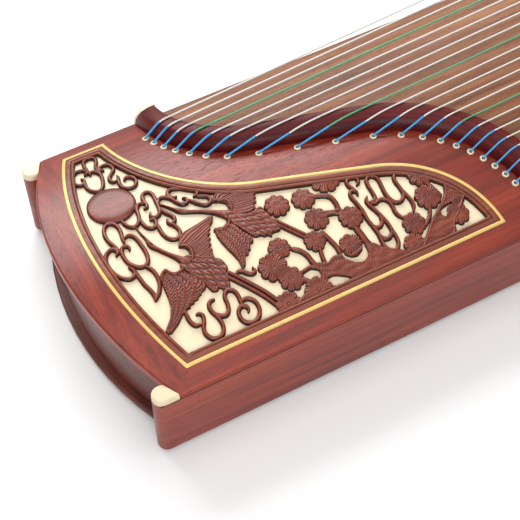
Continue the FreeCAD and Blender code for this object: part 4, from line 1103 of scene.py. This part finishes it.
def crest_points(i):
    """The tail bridge's surface under string i, from its foot to its top."""
    y = string_y(i, 0)
    clear = string_d(i) / 2 + 0.1
    fine = curve(BRIDGE_PROFILE[:-1], 0.7)
    return [(s_x(y, BRIDGE_FOOT + o) - 0.3 * clear, float(deck_z(y)) + z + clear)
            for o, z in fine[1:-1]]


def under(x, y, depth):
    """A point below the deck, on the radius that meets the deck at y."""
    share = 1 - depth / ARCH_R
    return x, y * share, AXIS_Z + (float(deck_z(y)) - AXIS_Z) * share


def string_parts(i):
    """Points of string i: tail part, tail bridge to its own bridge, on to the front, head part."""
    r = string_d(i) / 2
    y0, y1 = string_y(i, 0), string_y(i, 1)
    start = (s_x(y0, EYELET_OFFSET) + 0.6, float(deck_z(y0)) + EYELET_FLANGE_H + r)
    top = float(AXIS_Z + (ARCH_R + MOVE_H) * cos(asin(string_y_at(i, bridge_x(i))
                                                      / (ARCH_R + MOVE_H))))
    left = (bridge_x(i) - MOVE_T_TOP / 2, top)
    right = (bridge_x(i) + MOVE_T_TOP / 2, top)
    rise = taut([start] + crest_points(i) + [left])
    z = float(deck_z(y1, ARCH_R + FRONT_H)) - FRONT_ROUND
    bend = FRONT_ROUND + r + 0.1
    over = [(FRONT_X + FRONT_W / 2 - FRONT_ROUND + bend * sin(radians(6 * k)),
             z + bend * cos(radians(6 * k))) for k in range(12)]
    end = (HEAD_EYELET_X - 1.0, float(deck_z(y1)) + EYELET_FLANGE_H + r)
    fall = taut([right] + over + [end])

    def at(p):
        return p[0], string_y_at(i, p[0]), p[1]
    knot = under(start[0] - 0.3, y0, DECK_T + 5.0)
    mouth = (start[0] - 0.2, y0, start[1] - 1.0)
    tail = [knot, mouth] + [at(p) for p in rise[:-1]]
    head = [at(p) for p in fall[1:]] + [under(HEAD_EYELET_X + 0.6, y1, 0.5),
                                        under(HEAD_EYELET_X + 1.0, y1, DECK_T),
                                        (pin_place(i)[0], y1, PIN_STRING_Z)]
    return tail, [tail[-1], at(left), at(right)], [at(right), head[0]], head


def row_of(points, step):
    """Points added along straight runs."""
    out = [np.array(points[0], float)]
    for p in points[1:]:
        p = np.array(p, float)
        n = max(1, int(np.linalg.norm(p - out[-1]) / step))
        a = out[-1]
        out += [a + (p - a) * (k + 1) / n for k in range(n)]
    return np.array(out)


def winding_length(i):
    """Blue thread past the eyelet of string i, with a little unevenness from string to string."""
    strings, lengths = (0, 4, 8, 12, 16, 18, 20), (26, 29, 25, 36, 28, 20, 21)
    return float(np.interp(i, strings, lengths)) + sin(4.1 * i)


def wound_part(points, r, length):
    """Coils of thread about the first part of a row of points."""
    row = row_of(points, 0.3)
    run = distances(row)
    keep = row[run <= length]
    ripple = 0.1 * np.abs(np.sin(np.arange(len(keep)) * pi / 3))
    radii = r + 0.14 + ripple
    radii[-3:] = (r + 0.1, r + 0.05, r + 0.01)
    return tube(keep, radii, 8)


tail_white, tail_green, windings, head_white, head_green = [], [], [], [], []
for i in range(STRINGS):
    r = string_d(i) / 2
    tail, middle, front, head = string_parts(i)
    green = i % 5 == 2
    (tail_green if green else tail_white).append(tube(row_of(tail, 4.0), r))
    (head_green if green else head_white).append(tube(row_of(head, 3.0), r))
    hidden = float(np.linalg.norm(np.subtract(tail[1], tail[0]))) + 1.0
    windings.append(wound_part(tail + [middle[1]], r, winding_length(i) + hidden))
    body = "bridge_%02d" % (i + 1)
    material = nylon_green if green else nylon_white
    a = mesh_object("string_%02d_tail_side" % (i + 1), *tube(row_of(middle, 12.0), r), material,
                    "string_cover")
    b = mesh_object("string_%02d_head_side" % (i + 1), *tube(row_of(front, 12.0), r), material,
                    "string_cover")
    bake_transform(a)
    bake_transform(b)
for name, parts, material in (("strings_tail_white", tail_white, nylon_white),
                              ("strings_tail_green", tail_green, nylon_green),
                              ("strings_head_white", head_white, nylon_white),
                              ("strings_head_green", head_green, nylon_green),
                              ("string_windings", windings, thread_blue)):
    obj = mesh_object(name, *joined(parts), material, "string_cover")
    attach(obj, "body")
    if name == "strings_tail_white":
        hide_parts("strings")

# ================================================================ movable bridges
def outset(ring, distance):
    """A closed outline moved along its own normals; a negative distance moves it inwards."""
    t = np.roll(ring, -1, axis=0) - np.roll(ring, 1, axis=0)
    t /= np.linalg.norm(t, axis=1)[:, None]
    return ring + distance * np.column_stack([t[:, 1], -t[:, 0]])


def bridge_outline():
    """Front view of a movable bridge, (across, up), from its right foot over the top."""
    half = [(20.9, -0.2), (20.7, 1.2), (19.8, 3.6), (18.0, 7.0), (15.0, 11.4), (11.6, 17.0),
            (8.4, 23.6), (6.0, 30.0), (4.8, 37.0), (4.35, 44.0), (4.2, 48.4)]
    right = curve(half, 1.6)
    arch = curve([(11.6, 0.15), (11.5, 6.0), (9.9, 11.2), (6.2, 15.6), (0.0, 17.9)], 1.6)
    inner = np.vstack([arch, np.column_stack([-arch[-2::-1, 0], arch[-2::-1, 1]])])
    left = np.column_stack([-right[::-1, 0], right[::-1, 1]])
    return np.vstack([right, left, inner[::-1]])


def bridge_solid(ring, soft=0.7):
    """A movable bridge or its tip: an outline given a thickness that tapers upwards, with its
    edges eased by soft."""
    rows = []
    for share, inset in ((-1, soft), (-1, 0.25 * soft), (-1, 0.0), (1, 0.0), (1, 0.25 * soft),
                         (1, soft)):
        edge = outset(ring, -inset)
        thickness = MOVE_T_FOOT - (MOVE_T_FOOT - MOVE_T_TOP) * np.clip(edge[:, 1] / MOVE_H, 0, 1)
        back = {soft: 0.0, 0.25 * soft: 0.35 * soft, 0.0: soft}[inset]
        deep = thickness / 2 - back
        rows.append(np.column_stack([share * deep, edge]))
    n, m = len(rows), len(ring)
    return np.vstack(rows), grid_faces(n, m, close_cols=True) + end_caps(n, m)


def tip_outline(r):
    """Front view of a bone tip, with a round notch for a string of radius r."""
    notch = [((r + 0.15) * cos(a), MOVE_H + (r + 0.15) * sin(a) - 0.02)
             for a in np.linspace(0, -pi, 9)]
    return np.array([(4.25, 48.3), (4.25, 51.2), (3.9, 51.75), (3.2, 51.98)] + notch
                    + [(-3.2, 51.98), (-3.9, 51.75), (-4.25, 51.2), (-4.25, 48.3)])


def placed(verts, i):
    """Swing a bridge made over the crown to its place on the arch."""
    a = asin(string_y_at(i, bridge_x(i)) / (ARCH_R + MOVE_H))
    up = verts[:, 2] + ARCH_R
    return np.column_stack([verts[:, 0] + bridge_x(i), verts[:, 1] * cos(a) + up * sin(a),
                            AXIS_Z + up * cos(a) - verts[:, 1] * sin(a)])


outline = bridge_outline()
sole = outline[:, 1] < 1.0
outline[sole, 1] = np.sqrt(ARCH_R ** 2 - outline[sole, 0] ** 2) - ARCH_R + MOVE_GAP
for i in range(STRINGS):
    body = "bridge_%02d" % (i + 1)
    verts, faces = bridge_solid(outline)
    wooden = mesh_object(body + "_wood", placed(verts, i), faces, bridge_wood, "bridge_wood")
    verts, faces = bridge_solid(tip_outline(string_d(i) / 2), soft=0.25)
    tip = mesh_object(body + "_tip", placed(verts, i), faces, bone, "bone")
    for obj in (wooden, tip):
        obj.data.polygons.foreach_set("use_smooth", [len(q.vertices) == 4
                                                     for q in obj.data.polygons])
        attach(obj, body)
    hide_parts(body)

# ================================================================ head end
for i in range(STRINGS):
    r = string_d(i) / 2
    x, y = pin_place(i)
    turned = np.linspace(0, COIL_TURNS * 2 * pi, 24 * COIL_TURNS + 1)
    a, around = turned - pi / 2, PIN_HEAD_R + r + 0.1
    coil = np.column_stack([x + around * np.cos(a), y + around * np.sin(a),
                            PIN_STRING_Z - (a + pi / 2) / (2 * pi) * (2 * r + 0.06)])
    material = nylon_green if i % 5 == 2 else nylon_white
    obj = mesh_object("coil_%02d" % (i + 1), *tube(coil, r, 6), material, "string_cover")
    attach(obj, "tuning_pin_%02d" % (i + 1))


def lid_line(profile, x0=647.0, x1=757.0, half=117.0, round_r=9.0):
    """A gold line let into the lid, a rectangle with rounded corners."""
    rows = []
    for inset, lift in profile:
        ring = []
        for cx, cy, a0 in ((x1, half, 0.0), (x0, half, pi / 2), (x0, -half, pi),
                           (x1, -half, 1.5 * pi)):
            mx, my = cx - np.sign(cx - 700) * round_r, cy - np.sign(cy) * round_r
            for a in np.linspace(a0, a0 + pi / 2, 9):
                ring.append((mx + (round_r - inset) * cos(a), my + (round_r - inset) * sin(a)))
        ring = np.array(row_of([(*p, 0.0) for p in ring + ring[:1]], 3.0))[:-1, :2]
        rows.append(np.column_stack([ring, deck_z(ring[:, 1]) + lift]))
    fewest = min(len(row) for row in rows)
    pick = [np.linspace(0, len(row) - 1, fewest).round().astype(int) for row in rows]
    rows = [row[k] for row, k in zip(rows, pick)]
    return np.vstack(rows), grid_faces(len(rows), fewest, close_cols=True)


line = mesh_object("lid_gold_line", *lid_line(((0.0, -0.4), (0.05, 0.02), (0.4, 0.3), (1.2, 0.36),
                                               (2.0, 0.3), (2.35, 0.02), (2.4, -0.4))), gold,
                   "gold_inlay")
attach(line, "lid")

# ================================================================ studio
floor = bpy.data.objects.new("floor", bpy.data.meshes.new("floor"))
floor.data.from_pydata([(-9, -9, 0), (9, -9, 0), (9, 9, 0), (-9, 9, 0)], [], [(0, 1, 2, 3)])
bpy.context.scene.collection.objects.link(floor)
g = Graph("pale_floor")
g.put("Base Color", grey(0.93))
g.put("Roughness", 0.9)
floor.data.materials.append(g.material)

world = bpy.data.worlds.new("studio")
world.use_nodes = True
world.node_tree.nodes["Background"].inputs[0].default_value = (1.0, 1.0, 1.0, 1.0)
world.node_tree.nodes["Background"].inputs[1].default_value = 0.42
bpy.context.scene.world = world
bpy.context.scene.view_settings.view_transform = "Standard"


def softbox(name, at, aim, size, power):
    """A rectangular area lamp that faces a point."""
    light = bpy.data.lights.new(name, "AREA")
    light.shape = "RECTANGLE"
    light.size, light.size_y = size
    light.energy = power
    obj = bpy.data.objects.new(name, light)
    bpy.context.scene.collection.objects.link(obj)
    obj.location = at
    obj.rotation_euler = (Vector(aim) - obj.location).to_track_quat("-Z", "Y").to_euler()


softbox("softbox_far", (-0.3, 1.7, 1.5), (-0.5, 0.0, 0.1), (2.4, 1.2), 54.0)
softbox("softbox_front", (-1.4, -1.6, 1.3), (-0.5, 0.0, 0.1), (1.4, 1.0), 20.0)
softbox("softbox_top", (-0.4, -0.2, 2.2), (-0.4, 0.0, 0.0), (2.0, 1.6), 15.0)

camera = bpy.data.objects.new("camera", bpy.data.cameras.new("camera"))
bpy.context.scene.collection.objects.link(camera)
camera.location = (-0.95406, -0.60800, 0.92992)
look = Vector((-0.64026, -0.04557, 0.06600)) - camera.location
camera.rotation_euler = look.to_track_quat("-Z", "Y").to_euler()
camera.data.sensor_width = 36.0
camera.data.lens = 80.52
camera.data.clip_start = 0.02
bpy.context.scene.camera = camera
